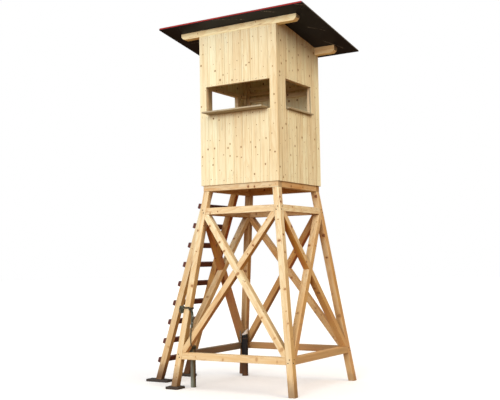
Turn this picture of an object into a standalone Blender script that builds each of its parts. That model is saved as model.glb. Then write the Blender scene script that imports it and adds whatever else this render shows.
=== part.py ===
# Raised hunting stand: a boarded cabin under a lean-to roof, on four splayed and cross-braced legs.
# Metres, +Z up. The cabin's front, with the wide window and the gun rest, faces -Y; the ladder is at -X.
# Every height is above the level ground. Places are counted from the cabin's middle, and one empty
# then shifts the whole stand so that the origin is the centre of its footprint.

import math

import bpy
import bmesh

# Clearances
seat_gap = 0.0003
cutter_reach = 0.05

# Cabin, measured over the boards
cabin_width = 1.20
cabin_depth = 1.20
board_thickness = 0.020
board_lap = 0.025
batten_thickness = 0.040
batten_width = 0.060
front_post_width = 0.080

# Floor
floor_underside = 2.617
floor_beam_height = 0.100
floor_beam_width = 0.090
deck_thickness = 0.020

# Legs, rails and braces
timber = 0.090
foot_half_width = 0.931
foot_half_depth = 0.906
lower_rail_bottom = 0.388
upper_rail_drop = 0.226
rail_height = 0.090
brace_width = 0.080

# Roof: clear height over the floor deck at the cabin's middle, and its fall towards the back
cabin_clear_height = 1.983
roof_slope = 0.1695
roof_half_width = 1.110
roof_front_reach = 0.830
roof_back_reach = 0.850
roof_panel_thickness = 0.018
roof_felt_thickness = 0.006
roof_felt_overhang = 0.004
roof_beam_half_length = 0.900
roof_beam_width = 0.100
roof_beam_height = 0.085
beam_nose_length = 0.090
beam_nose_height = 0.042

# Windows: from, to along the wall, then heights above the floor deck
front_window = (-0.500, 0.490)
front_sill_height = 0.909
front_head_height = 1.293
right_window = (-0.370, 0.350)
right_sill_height = 0.918
right_head_height = 1.313
sill_board = 0.020
front_sill_half_length = 0.460
front_sill_reach = 0.180
right_sill_inset = 0.010
right_sill_reach = 0.045

# Entrance in the left wall, closed by a half door laid on the boards
doorway = (-0.387, 0.285)
doorway_head_height = 1.293
doorway_lintel = 0.050
door_overlap = 0.034
door_bottom = 0.008
door_top_height = 0.950
back_rail_height = 1.250

# Ladder: how far its foot stands out from the floor beam, and its timbers
ladder_foot_reach = 0.8845
stringer_depth = 0.090
stringer_width = 0.080
ladder_front = -0.420
ladder_width = 0.745
rung_thickness = 0.045
rung_height = 0.070
top_rung_drop = 0.189
rung_pitch = 0.281
lowest_rung_height = 0.250

# Pads under the ladder and one leg
pad_thickness = 0.032
leg_pad_size = 0.200
front_pad_length = 0.370
rear_pad_length = 0.270
ladder_pad_width = 0.170
ladder_pad_offset = 0.010
pad_corner = 0.018

# Anchor stakes inside the left legs: upright, hewn flat where they bear on the left rail
stake_sides = 16
stake_flat = 0.003
front_stake_radius = 0.037
front_stake_height = 0.560
front_stake_from_leg = 0.074
back_stake_radius = 0.046
back_stake_height = 0.650
back_stake_from_leg = 0.045

# Colours, linear, with roughness
pine_boards_look = ((0.78, 0.60, 0.34), 0.62)
pine_timber_look = ((0.72, 0.47, 0.19), 0.60)
inner_pine_look = ((0.42, 0.26, 0.13), 0.70)
rung_look = ((0.11, 0.028, 0.018), 0.58)
roof_panel_look = ((0.022, 0.022, 0.024), 0.75)
roof_felt_look = ((0.33, 0.035, 0.030), 0.85)
pad_look = ((0.060, 0.050, 0.045), 0.90)
grey_stake_look = ((0.14, 0.14, 0.10), 0.85)
black_stake_look = ((0.015, 0.015, 0.017), 0.50)

# Worked out from the above
half_width = cabin_width / 2
half_depth = cabin_depth / 2
floor_beam_top = floor_underside + floor_beam_height
floor_top = floor_beam_top + deck_thickness
upper_rail_bottom = floor_underside - upper_rail_drop - rail_height
roof_height = floor_top + cabin_clear_height
board_bottom = floor_beam_top - board_lap
frame_bottom = floor_top + seat_gap
frame_width = half_width - board_thickness
frame_depth = half_depth - board_thickness
wall_total = board_thickness + batten_thickness
ladder_slope = ladder_foot_reach / floor_underside
ladder_cosine = 1 / math.hypot(1, ladder_slope)
ladder_sine = ladder_slope * ladder_cosine


def roof_under(y):
    return roof_height - roof_slope * y


front_beam_bottom = roof_under(-half_depth) - roof_beam_height
rear_beam_bottom = roof_under(half_depth) - roof_beam_height


def leg_out_x(height):
    return foot_half_width + (frame_width - foot_half_width) * height / floor_underside


def leg_out_y(height):
    return foot_half_depth + (frame_depth - foot_half_depth) * height / floor_underside


def ladder_inner_x(height):
    return -frame_width - seat_gap - ladder_slope * (floor_underside - height)


def ladder_outer_x(height):
    return ladder_inner_x(height) - stringer_depth / ladder_cosine


# Scene set-up and helpers
for old in list(bpy.data.objects):
    bpy.data.objects.remove(old)

ladder_foot_middle = (ladder_inner_x(pad_thickness) + ladder_outer_x(pad_thickness)) / 2
footprint_left = ladder_foot_middle - ladder_pad_offset - front_pad_length / 2
footprint_right = max(roof_half_width + roof_felt_overhang, foot_half_width)
footprint_front = foot_half_depth - timber / 2 + leg_pad_size / 2
footprint_back = max(foot_half_depth, roof_back_reach + roof_felt_overhang)

stand = bpy.data.objects.new("stand", None)
bpy.context.scene.collection.objects.link(stand)
stand.location = (-(footprint_left + footprint_right) / 2, -(footprint_back - footprint_front) / 2, 0)


def make_material(name, look):
    colour, roughness = look
    material = bpy.data.materials.new(name)
    material.use_nodes = True
    shader = material.node_tree.nodes["Principled BSDF"]
    shader.inputs["Base Color"].default_value = (*colour, 1)
    shader.inputs["Roughness"].default_value = roughness
    shader.inputs["Metallic"].default_value = 0
    material.diffuse_color = (*colour, 1)
    return material


# A solid between two rings of corners that match one to one.
def loft(name, near_ring, far_ring, look):
    shape = bmesh.new()
    near = [shape.verts.new(corner) for corner in near_ring]
    far = [shape.verts.new(corner) for corner in far_ring]
    shape.faces.new(near)
    shape.faces.new(far)
    for index in range(len(near)):
        after = (index + 1) % len(near)
        shape.faces.new((near[index], near[after], far[after], far[index]))
    bmesh.ops.recalc_face_normals(shape, faces=shape.faces)
    mesh = bpy.data.meshes.new(name)
    shape.to_mesh(mesh)
    shape.free()
    piece = bpy.data.objects.new(name, mesh)
    bpy.context.scene.collection.objects.link(piece)
    piece.parent = stand
    if look:
        mesh.materials.append(make_material(name, look))
    return piece


def block(name, low, high, look):
    def ring(z):
        return [(low[0], low[1], z), (high[0], low[1], z), (high[0], high[1], z), (low[0], high[1], z)]
    return loft(name, ring(low[2]), ring(high[2]), look)


def cut(piece, cutter):
    cutter.display_type = "WIRE"
    cutter.hide_render = True
    hollow = piece.modifiers.new("cut", "BOOLEAN")
    hollow.operation = "DIFFERENCE"
    hollow.solver = "EXACT"
    hollow.object = cutter


# A point on one side of the stand: along the side, at a height, and so far in from its outer face.
def side_point(side, half_x, half_y, along, height, inset):
    if side == "front":
        return (along, -half_y + inset, height)
    if side == "back":
        return (along, half_y - inset, height)
    if side == "right":
        return (half_x - inset, along, height)
    return (-half_x + inset, along, height)


def wall_piece(name, side, outline, near, far, look):
    rings = [[side_point(side, half_width, half_depth, along, height, inset) for along, height in outline]
             for inset in (near, far)]
    return loft(name, *rings, look)


def tower_piece(name, side, outline, near, far, look):
    rings = [[side_point(side, leg_out_x(height), leg_out_y(height), along, height, inset)
              for along, height in outline] for inset in (near, far)]
    return loft(name, *rings, look)


def rectangle(left, right, bottom, top):
    return [(left, bottom), (right, bottom), (right, top), (left, top)]


# Legs: leaning square timbers, cut level at the foot and under the floor beams
def build_legs():
    for end, toward_y in (("front", -1), ("back", 1)):
        for side, toward_x in (("left", -1), ("right", 1)):
            on_pad = end == "front" and side == "left"
            foot = pad_thickness + seat_gap if on_pad else 0

            def ring(height):
                out_x, out_y = leg_out_x(height), leg_out_y(height)
                corners = ((out_x, out_y), (out_x - timber, out_y),
                           (out_x - timber, out_y - timber), (out_x, out_y - timber))
                return [(x * toward_x, y * toward_y, height) for x, y in corners]

            loft(f"{end}_{side}_leg", ring(foot), ring(floor_underside - seat_gap), pine_timber_look)


def side_half(side, height):
    return leg_out_x(height) if side in ("front", "back") else leg_out_y(height)


# Between the legs of one side, from one height to another, clear of the legs' inner faces
def bay_outline(side, bottom, top):
    low = side_half(side, bottom) - timber - seat_gap
    high = side_half(side, top) - timber - seat_gap
    return [(-low, bottom), (low, bottom), (high, top), (-high, top)]


def build_rails():
    for side in ("front", "right", "back", "left"):
        for level, bottom in (("lower", lower_rail_bottom), ("upper", upper_rail_bottom)):
            outline = bay_outline(side, bottom, bottom + rail_height)
            tower_piece(f"{side}_{level}_rail", side, outline, 0, timber, pine_timber_look)


# Keeps the part of a convex outline to the left of the line from start to end.
def clip(outline, start, end):
    def offset(point):
        return ((end[0] - start[0]) * (point[1] - start[1]) - (end[1] - start[1]) * (point[0] - start[0]))

    kept = []
    for index, point in enumerate(outline):
        before = outline[index - 1]
        here, there = offset(point), offset(before)
        if (here >= 0) != (there >= 0):
            share = there / (there - here)
            kept.append(tuple(before[axis] + share * (point[axis] - before[axis]) for axis in (0, 1)))
        if here >= 0:
            kept.append(point)
    return kept


# The straight strip from one corner of a bay to the opposite one, longer than the bay at both ends
def brace_strip(bay, rising, width):
    start, end = (bay[0], bay[2]) if rising else (bay[1], bay[3])
    length = math.hypot(end[0] - start[0], end[1] - start[1])
    ahead = ((end[0] - start[0]) / length, (end[1] - start[1]) / length)
    across = (-ahead[1], ahead[0])
    start = [start[axis] - ahead[axis] * width * 2 for axis in (0, 1)]
    end = [end[axis] + ahead[axis] * width * 2 for axis in (0, 1)]
    reach = width / 2
    return [(start[0] - across[0] * reach, start[1] - across[1] * reach),
            (end[0] - across[0] * reach, end[1] - across[1] * reach),
            (end[0] + across[0] * reach, end[1] + across[1] * reach),
            (start[0] + across[0] * reach, start[1] + across[1] * reach)]


# Two braces cross on every side. They fill the corners of the bay and are half-lapped where they
# cross, so that both lie flush with the legs. Along +X or +Y, the falling one keeps its outer half on
# the front and left, and the rising one on the right and back.
def build_braces():
    for side in ("front", "right", "back", "left"):
        bay = bay_outline(side, lower_rail_bottom + rail_height + seat_gap, upper_rail_bottom - seat_gap)
        braces = {}
        for rising in (True, False):
            outline = brace_strip(bay, rising, brace_width)
            for index, corner in enumerate(bay):
                outline = clip(outline, bay[index - 1], corner)
            slope = "rising" if rising else "falling"
            name = f"{side}_{slope}_brace"
            braces[rising] = tower_piece(name, side, outline, 0, timber, pine_timber_look)
        outside = side in ("back", "right")
        for rising, piece in braces.items():
            notch = brace_strip(bay, not rising, brace_width + 2 * seat_gap)
            middle = timber / 2
            if rising == outside:
                depths = (middle - seat_gap / 2, timber + cutter_reach)
            else:
                depths = (-cutter_reach, middle + seat_gap / 2)
            cut(piece, tower_piece(f"{piece.name}_lap", side, notch, *depths, None))


# Floor: front and back beams run through, the side beams fit between them, and the deck lies on top
def build_floor():
    low, high = floor_underside, floor_beam_top
    for side, toward in (("front", -1), ("back", 1)):
        edges = sorted((toward * frame_depth, toward * (frame_depth - floor_beam_width)))
        block(f"{side}_floor_beam", (-frame_width, edges[0], low), (frame_width, edges[1], high),
              pine_timber_look)
    reach = frame_depth - floor_beam_width - seat_gap
    for side, toward in (("left", -1), ("right", 1)):
        edges = sorted((toward * frame_width, toward * (frame_width - floor_beam_width)))
        block(f"{side}_floor_beam", (edges[0], -reach, low), (edges[1], reach, high), pine_timber_look)
    width, depth = frame_width - seat_gap, frame_depth - seat_gap
    block("floor_deck", (-width, -depth, high + seat_gap), (width, depth, floor_top), inner_pine_look)


# A side wall's outline: its top follows the roof and is notched round both roof beams
def side_outline(reach, bottom):
    beam = half_depth - roof_beam_width - seat_gap
    return [(-reach, bottom), (reach, bottom), (reach, rear_beam_bottom - seat_gap),
            (beam, rear_beam_bottom - seat_gap), (beam, roof_under(beam) - seat_gap),
            (-beam, roof_under(-beam) - seat_gap), (-beam, front_beam_bottom - seat_gap),
            (-reach, front_beam_bottom - seat_gap)]


def window_band(side):
    if side == "front":
        return (front_window, floor_top + front_sill_height - seat_gap, floor_top + front_head_height)
    if side == "right":
        return (right_window, floor_top + right_sill_height - seat_gap, floor_top + right_head_height)
    return (doorway, floor_top, floor_top + doorway_head_height)


# Boarded skins: front and back cover the corners, the side walls fit between them
def build_walls():
    across = half_width
    between = frame_depth - seat_gap
    outlines = {
        "front": rectangle(-across, across, board_bottom, front_beam_bottom - seat_gap),
        "back": rectangle(-across, across, board_bottom, rear_beam_bottom - seat_gap),
        "right": side_outline(between, board_bottom),
        "left": side_outline(between, board_bottom),
    }
    for side, outline in outlines.items():
        wall = wall_piece(f"{side}_wall", side, outline, 0, board_thickness, pine_boards_look)
        if side == "back":
            continue
        (start, end), sill, head = window_band(side)
        hole = rectangle(start, end, sill, head)
        cut(wall, wall_piece(f"{side}_opening", side, hole, -cutter_reach, wall_total + cutter_reach, None))


# Batten frames behind the boards, each one lattice of posts and rails round its window or doorway
def build_frames():
    near, far = board_thickness + seat_gap, wall_total
    wide = frame_width - seat_gap
    deep = frame_depth - batten_thickness - seat_gap
    low = frame_bottom + batten_width
    outlines = {
        "front": rectangle(-wide, wide, frame_bottom, front_beam_bottom - seat_gap),
        "back": rectangle(-wide, wide, frame_bottom, rear_beam_bottom - seat_gap),
        "right": side_outline(deep, frame_bottom),
        "left": side_outline(deep, frame_bottom),
    }
    bays = {"front": [], "back": [], "right": [], "left": []}

    # Front: corner posts up to the window, which takes the whole width between them
    (start, end), sill, head = window_band("front")
    bays["front"] = [
        rectangle(start, end, low, sill - batten_width),
        rectangle(start, end, sill, head),
        rectangle(start, end, head + batten_width, front_beam_bottom - seat_gap - batten_width),
    ]

    # Right: window jambs stand inside the corner posts
    (start, end), sill, head = window_band("right")
    post = deep - batten_width
    above = head + batten_width
    bays["right"] = [
        rectangle(-post, post, low, sill - batten_width),
        rectangle(start, end, sill, head),
        [(-post, above), (post, above), (post, roof_under(post) - batten_width),
         (-post, roof_under(-post) - batten_width)],
    ]

    # Left: the doorway runs down to the floor, with a lintel over it
    (start, end), sill, head = window_band("left")
    above = head + doorway_lintel
    bays["left"] = [
        rectangle(start, end, sill - cutter_reach / 2, head),
        rectangle(end + batten_width, post, low, head),
        [(start, above), (post, above), (post, roof_under(post) - batten_width),
         (start, roof_under(start) - batten_width)],
    ]

    # Back: no opening, two cross rails
    post = wide - front_post_width
    middle = floor_top + back_rail_height
    lower = floor_top + front_sill_height - batten_width
    bays["back"] = [
        rectangle(-post, post, low, lower),
        rectangle(-post, post, lower + batten_width, middle),
        rectangle(-post, post, middle + batten_width, rear_beam_bottom - seat_gap - batten_width),
    ]
    for side, outline in outlines.items():
        frame = wall_piece(f"{side}_wall_frame", side, outline, near, far, inner_pine_look)
        for number, bay in enumerate(bays[side], 1):
            cutter = wall_piece(f"{side}_bay_{number}", side, bay, board_thickness - cutter_reach,
                                wall_total + cutter_reach, None)
            cut(frame, cutter)


# Roof beams carry the roof past the side walls. Their ends are cut back underneath.
def build_roof():
    for name, near, bottom in (("front_roof_beam", -half_depth, front_beam_bottom),
                               ("rear_roof_beam", half_depth - roof_beam_width, rear_beam_bottom)):
        def ring(y):
            end, top = roof_beam_half_length, roof_under(y) - seat_gap
            nose = end - beam_nose_length
            return [(-nose, y, bottom), (nose, y, bottom), (end, y, bottom + beam_nose_height),
                    (end, y, top), (-end, y, top), (-end, y, bottom + beam_nose_height)]
        loft(name, ring(near), ring(near + roof_beam_width), pine_timber_look)

    def sheet(name, overhang, bottom, top, look):
        front, back = -roof_front_reach - overhang, roof_back_reach + overhang

        def ring(x):
            return [(x, front, roof_under(front) + bottom), (x, back, roof_under(back) + bottom),
                    (x, back, roof_under(back) + top), (x, front, roof_under(front) + top)]
        loft(name, ring(-roof_half_width - overhang), ring(roof_half_width + overhang), look)

    sheet("roof_panel", 0, 0, roof_panel_thickness, roof_panel_look)
    felt_bottom = roof_panel_thickness + seat_gap
    sheet("roof_covering", roof_felt_overhang, felt_bottom, felt_bottom + roof_felt_thickness, roof_felt_look)


# Sills lie in the window openings, on the battens, and stand out past the boards
def build_sills():
    front_low = floor_top + front_sill_height
    block("front_sill", (-front_sill_half_length, -half_depth - front_sill_reach, front_low),
          (front_sill_half_length, -half_depth + wall_total, front_low + sill_board), pine_boards_look)
    right_low = floor_top + right_sill_height
    start, end = right_window
    block("right_sill", (half_width - wall_total, start + right_sill_inset, right_low),
          (half_width + right_sill_reach, end - right_sill_inset, right_low + sill_board),
          pine_boards_look)


def build_door():
    start, end = doorway
    outside = -half_width - seat_gap
    block("half_door", (outside - board_thickness, start - door_overlap, board_bottom + door_bottom),
          (outside, end + door_overlap, floor_top + door_top_height), pine_boards_look)


# Ladder: two stringers stand on pads and are cut plumb against the floor beam; rungs lie on them
def build_ladder():
    foot = pad_thickness + seat_gap
    head = board_bottom - seat_gap
    profile = [(ladder_outer_x(foot), foot), (ladder_inner_x(foot), foot),
               (-frame_width - seat_gap, floor_underside), (-frame_width - seat_gap, head),
               (ladder_outer_x(head), head)]
    rear = ladder_front + ladder_width - stringer_width
    for name, near in (("front_stringer", ladder_front), ("rear_stringer", rear)):
        rings = [[(x, y, z) for x, z in profile] for y in (near, near + stringer_width)]
        loft(name, *rings, pine_timber_look)

    along = (ladder_sine, ladder_cosine)
    outward = (-ladder_cosine, ladder_sine)
    step = rung_pitch * ladder_cosine
    top = floor_underside - top_rung_drop
    for number in range(int((top - lowest_rung_height) / step) + 1):
        height = top - number * step
        corners = []
        for up, out in ((-1, 0), (1, 0), (1, 1), (-1, 1)):
            shift_up = up * rung_height / 2
            shift_out = seat_gap + out * rung_thickness
            corners.append((ladder_outer_x(height) + along[0] * shift_up + outward[0] * shift_out,
                            height + along[1] * shift_up + outward[1] * shift_out))
        rings = [[(x, y, z) for x, z in corners] for y in (ladder_front, ladder_front + ladder_width)]
        loft(f"rung_{number + 1}", *rings, rung_look)


# Pads: flat slabs with broken corners
def pad(name, middle, length, width):
    def ring(z):
        corners = []
        for toward_x, toward_y in ((-1, -1), (1, -1), (1, 1), (-1, 1)):
            x, y = middle[0] + toward_x * length / 2, middle[1] + toward_y * width / 2
            beside = (x - toward_x * pad_corner, y)
            below = (x, y - toward_y * pad_corner)
            corners += [below, beside] if toward_x * toward_y > 0 else [beside, below]
        return [(x, y, z) for x, y in corners]
    loft(name, ring(0), ring(pad_thickness), pad_look)


def build_pads():
    leg_x = foot_half_width - timber / 2
    leg_y = foot_half_depth - timber / 2
    pad("leg_pad", (-leg_x, -leg_y), leg_pad_size, leg_pad_size)
    x = ladder_foot_middle - ladder_pad_offset
    front = ladder_front + stringer_width / 2
    rear = ladder_front + ladder_width - stringer_width / 2
    pad("front_ladder_pad", (x, front), front_pad_length, ladder_pad_width)
    pad("rear_ladder_pad", (x, rear), rear_pad_length, ladder_pad_width)


# Anchor stakes: round poles upright beside the left legs, each with a flat that bears on the left side
def build_stakes():
    rail_top = lower_rail_bottom + rail_height
    inner_x = -leg_out_x(rail_top) + timber
    inner_y = leg_out_y(rail_top) - timber
    reach = leg_out_y(0)
    stakes = (
        ("front_stake", -1, front_stake_radius, front_stake_height, front_stake_from_leg, grey_stake_look),
        ("back_stake", 1, back_stake_radius, back_stake_height, back_stake_from_leg, black_stake_look),
    )
    for name, toward_y, radius, height, from_leg, look in stakes:
        middle_x = inner_x + radius - stake_flat
        middle_y = toward_y * (inner_y - from_leg - radius)

        def ring(z):
            turns = [2 * math.pi * index / stake_sides for index in range(stake_sides)]
            return [(middle_x + radius * math.cos(turn), middle_y + radius * math.sin(turn), z)
                    for turn in turns]

        pole = loft(name, ring(0), ring(height), look)
        flat = rectangle(-reach, reach, -cutter_reach, height + cutter_reach)
        cut(pole, tower_piece(f"{name}_flat", "left", flat, -cutter_reach, timber + seat_gap, None))


build_legs()
build_rails()
build_braces()
build_floor()
build_walls()
build_frames()
build_roof()
build_sills()
build_door()
build_ladder()
build_pads()
build_stakes()
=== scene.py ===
import math
import random

import bmesh
import bpy
import numpy as np
from mathutils import Matrix, Vector, noise


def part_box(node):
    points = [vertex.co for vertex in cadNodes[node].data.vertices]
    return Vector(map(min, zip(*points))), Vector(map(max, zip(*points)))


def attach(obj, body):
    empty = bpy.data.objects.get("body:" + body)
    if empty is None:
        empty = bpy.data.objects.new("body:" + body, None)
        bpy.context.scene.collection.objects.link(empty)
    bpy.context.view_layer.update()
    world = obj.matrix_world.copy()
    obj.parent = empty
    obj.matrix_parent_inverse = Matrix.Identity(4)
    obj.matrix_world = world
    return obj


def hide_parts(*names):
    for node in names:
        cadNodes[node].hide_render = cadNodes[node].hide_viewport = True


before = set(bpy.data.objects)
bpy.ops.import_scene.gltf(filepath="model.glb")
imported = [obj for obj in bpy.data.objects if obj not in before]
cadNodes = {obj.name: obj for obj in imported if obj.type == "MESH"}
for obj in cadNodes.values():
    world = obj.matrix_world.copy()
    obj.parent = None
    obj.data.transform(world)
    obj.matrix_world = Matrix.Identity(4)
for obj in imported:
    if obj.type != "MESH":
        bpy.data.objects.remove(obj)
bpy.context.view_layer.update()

print("stage: frame loaded,", len(cadNodes), "solids")

# The stand's middle: the cabin is 1.20 m square over its boards
wallLow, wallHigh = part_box("front_wall")
cabinHalf = (wallHigh.x - wallLow.x) / 2
middle = Vector(((wallLow.x + wallHigh.x) / 2, wallLow.y + cabinHalf, 0))
sideNormals = {
    "front": Vector((0, -1, 0)),
    "back": Vector((0, 1, 0)),
    "right": Vector((1, 0, 0)),
    "left": Vector((-1, 0, 0)),
}
upward = Vector((0, 0, 1))
rightward = Vector((1, 0, 0))
backward = Vector((0, 1, 0))


def inStand(x, y, z):
    return middle + Vector((x, y, z))


# The direction along a wall
def acrossOf(side):
    return rightward if side in ("front", "back") else backward


# Camera, light and floor
view = {
    "place": inStand(6.0171, -10.2945, 1.667),
    "yaw": 0.5655,
    "pitch": 0.0635,
    "roll": -0.0166,
    "focal": 870.37,  # in pixels of a 500 wide picture
    "centre": (230.73, 206.29),
    "picture": (500, 400),
    "sensor": 36.0,
    "farthest": 300,
}


def placeCamera():
    yaw, pitch, roll = view["yaw"], view["pitch"], view["roll"]
    ahead = Vector((-math.sin(yaw) * math.cos(pitch), math.cos(yaw) * math.cos(pitch), math.sin(pitch)))
    level = Vector((math.cos(yaw), math.sin(yaw), 0))
    right = level * math.cos(roll) + level.cross(ahead) * math.sin(roll)
    above = right.cross(ahead)
    turn = Matrix((right, above, -ahead)).transposed()
    bpy.ops.object.camera_add(location=view["place"])
    camera = bpy.context.object
    camera.matrix_world = Matrix.Translation(view["place"]) @ turn.to_4x4()
    width, height = view["picture"]
    camera.data.sensor_width = view["sensor"]
    camera.data.lens = view["focal"] * view["sensor"] / width
    camera.data.shift_x = (width / 2 - view["centre"][0]) / width
    camera.data.shift_y = (view["centre"][1] - height / 2) / width
    camera.data.clip_end = view["farthest"]
    bpy.context.scene.camera = camera


# A socket on its way through a material. Sums on values become Math nodes.
class Wire:
    def __init__(self, tree, socket=None):
        self.tree = tree
        self.socket = socket

    def node(self, kind, settings=None, inputs=None, output=0):
        made = self.tree.nodes.new(kind)
        for key, value in (settings or {}).items():
            if key == "stops":
                elements = made.color_ramp.elements
                while len(elements) < len(value):
                    elements.new(1.0)
                for element, (place, colour) in zip(elements, value):
                    element.position = place
                    element.color = (*colour, 1)
            else:
                setattr(made, key, value)
        for key, value in (inputs or {}).items():
            if isinstance(value, Wire):
                self.tree.links.new(value.socket, made.inputs[key])
            elif isinstance(value, tuple) and len(made.inputs[key].default_value) == 4:
                made.inputs[key].default_value = (*value, 1)
            else:
                made.inputs[key].default_value = value
        return Wire(self.tree, made.outputs[output])

    def place(self):
        return self.node("ShaderNodeTexCoord", None, None, 3)

    def attribute(self, name, output=1):
        return self.node("ShaderNodeAttribute", {"attribute_name": name}, None, output)

    def math(self, operation, first, second=0.0):
        return self.node("ShaderNodeMath", {"operation": operation}, {0: first, 1: second})

    def vector(self, operation, other, output=0):
        return self.node("ShaderNodeVectorMath", {"operation": operation}, {0: self, 1: other}, output)

    def length(self):
        return self.vector("LENGTH", (0, 0, 0), 1)

    def mix(self, first, second):
        return self.node("ShaderNodeMix", {"data_type": "RGBA"}, {0: self, 6: first, 7: second}, 2)

    def blended(self, other, blend, share=1.0):
        settings = {"data_type": "RGBA", "blend_type": blend}
        return self.node("ShaderNodeMix", settings, {0: share, 6: self, 7: other}, 2)

    def span(self, low, high, bottom=0.0, top=1.0):
        settings = {"interpolation_type": "SMOOTHSTEP"}
        return self.node("ShaderNodeMapRange", settings, {0: self, 1: low, 2: high, 3: bottom, 4: top})

    def noise(self, scale, detail=2.0, roughness=0.5):
        inputs = {"Vector": self, "Scale": scale, "Detail": detail, "Roughness": roughness}
        return self.node("ShaderNodeTexNoise", {"normalize": True}, inputs)

    def parts(self):
        return [self.node("ShaderNodeSeparateXYZ", None, {0: self}, index) for index in range(3)]

    def joined(self, x, y, z):
        return self.node("ShaderNodeCombineXYZ", None, {0: x, 1: y, 2: z})

    def __add__(self, other):
        return self.math("ADD", self, other)

    def __radd__(self, other):
        return self.math("ADD", other, self)

    def __sub__(self, other):
        return self.math("SUBTRACT", self, other)

    def __rsub__(self, other):
        return self.math("SUBTRACT", other, self)

    def __mul__(self, other):
        return self.math("MULTIPLY", self, other)

    def __rmul__(self, other):
        return self.math("MULTIPLY", other, self)

    def __truediv__(self, other):
        return self.math("DIVIDE", self, other)


light = {
    "key": {"azimuth": 6, "height": 13, "power": 2.37, "spread": 30, "colour": (1.0, 0.985, 0.97)},
    "fill": {"azimuth": 80, "height": 30, "power": 1.70, "spread": 40, "colour": (1.0, 0.78, 0.52)},
    "distance": 12,
    "zenith": (1.05, 1.06, 1.08),
    "horizon": (0.325, 0.310, 0.288),
    "ground": (0.275, 0.126, 0.050),
    "groundTo": 0.44,  # from 0 straight down to 1 straight up
    "horizonAt": 0.53,
    "backdrop": (1.0, 1.0, 1.0),
}


def placeLamp(lamp):
    azimuth = math.radians(lamp["azimuth"])  # to the right of the front
    height = math.radians(lamp["height"])
    toward = Vector((math.sin(azimuth) * math.cos(height), -math.cos(azimuth) * math.cos(height),
                     math.sin(height)))
    bpy.ops.object.light_add(type="SUN", location=middle + toward * light["distance"])
    made = bpy.context.object
    made.rotation_euler = toward.to_track_quat("Z", "Y").to_euler()
    made.data.energy = lamp["power"]
    made.data.angle = math.radians(lamp["spread"])
    made.data.color = lamp["colour"]


def placeDome():
    world = bpy.data.worlds.new("studio")
    world.use_nodes = True
    world.node_tree.nodes.clear()
    start = Wire(world.node_tree)
    height = start.node("ShaderNodeTexCoord").parts()[2]
    stops = [
        (0.0, light["ground"]),
        (light["groundTo"], light["ground"]),
        (light["horizonAt"], light["horizon"]),
        (1.0, light["zenith"]),
    ]
    glow = start.node("ShaderNodeValToRGB", {"stops": stops}, {0: height * 0.5 + 0.5})
    seen = start.node("ShaderNodeLightPath").mix(glow, light["backdrop"])
    shine = start.node("ShaderNodeBackground", None, {"Color": seen, "Strength": 1.0})
    output = world.node_tree.nodes.new("ShaderNodeOutputWorld")
    world.node_tree.links.new(shine.socket, output.inputs["Surface"])
    bpy.context.scene.world = world
    bpy.context.scene.view_settings.view_transform = "Standard"


def newMaterial(name):
    material = bpy.data.materials.new(name)
    material.use_nodes = True
    return material, Wire(material.node_tree)


def setSurface(material, fixed, linked):
    shader = material.node_tree.nodes["Principled BSDF"]
    for key, value in fixed.items():
        shader.inputs[key].default_value = value
    for key, wire in linked.items():
        material.node_tree.links.new(wire.socket, shader.inputs[key])


def bumpOf(start, height, strength, distance):
    inputs = {"Height": height, "Strength": strength, "Distance": distance}
    return start.node("ShaderNodeBump", None, inputs)


floorLook = {
    "half": 60.0,
    "colour": (0.84, 0.835, 0.83),
    "paler": (0.88, 0.875, 0.87),
    "spots": 3.0,
    "rough": 0.85,
    "glow": 0.20,
}


def layFloor():
    bpy.ops.mesh.primitive_plane_add(size=2 * floorLook["half"], location=(middle.x, middle.y, 0))
    floor = bpy.context.object
    floor.name = "floor"
    material, start = newMaterial("pale_floor")
    spots = start.place().noise(floorLook["spots"], 4.0)
    glow = {"Emission Color": (1, 1, 1, 1), "Emission Strength": floorLook["glow"]}
    setSurface(material, {"Roughness": floorLook["rough"], **glow}, {
        "Base Color": spots.mix(floorLook["colour"], floorLook["paler"]),
    })
    floor.data.materials.append(material)
    floor.visible_diffuse = False  # the stand is lit by the dome alone, as outdoors over dull ground
    floor.visible_glossy = False
    floor.visible_shadow = False


placeCamera()
placeLamp(light["key"])
placeLamp(light["fill"])
placeDome()
layFloor()
print("stage: camera, light and floor")


# Modelling helpers
mergeWithin = 0.00002
smoothUnder = math.radians(20)


def newPiece(name, mesh):
    piece = bpy.data.objects.new(name, mesh)
    bpy.context.scene.collection.objects.link(piece)
    return piece


def pickPiece(piece):
    bpy.ops.object.select_all(action="DESELECT")
    piece.select_set(True)
    bpy.context.view_layer.objects.active = piece


def openPiece(piece):
    pickPiece(piece)
    bpy.ops.object.mode_set(mode="EDIT")
    bpy.ops.mesh.select_mode(type="EDGE")
    bpy.ops.mesh.select_all(action="SELECT")


def closePiece():
    bpy.ops.object.mode_set(mode="OBJECT")


# A clean copy of a solid: its loose triangles are merged and its flat faces made whole
def copyNode(node, name):
    source = cadNodes[node].data
    mesh = bpy.data.meshes.new(name)
    mesh.from_pydata([tuple(point.co) for point in source.vertices], [],
                     [tuple(face.vertices) for face in source.polygons])
    piece = newPiece(name, mesh)
    openPiece(piece)
    bpy.ops.mesh.remove_doubles(threshold=mergeWithin)
    bpy.ops.mesh.dissolve_limited(angle_limit=math.radians(0.3))
    bpy.ops.mesh.normals_make_consistent(inside=False)
    closePiece()
    return piece


def cloneOf(piece, name):
    return newPiece(name, piece.data.copy())


def drop(piece):
    mesh = piece.data
    bpy.data.objects.remove(piece)
    bpy.data.meshes.remove(mesh)


# Cuts with planes; keep says which side of the plane's normal stays, and None keeps both
def slicePiece(piece, cuts):
    openPiece(piece)
    for point, normal, keep in cuts:
        bpy.ops.mesh.select_all(action="SELECT")
        bpy.ops.mesh.bisect(plane_co=point, plane_no=normal, use_fill=keep is not None,
                            clear_inner=keep == "beyond", clear_outer=keep == "before")
    closePiece()


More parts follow.
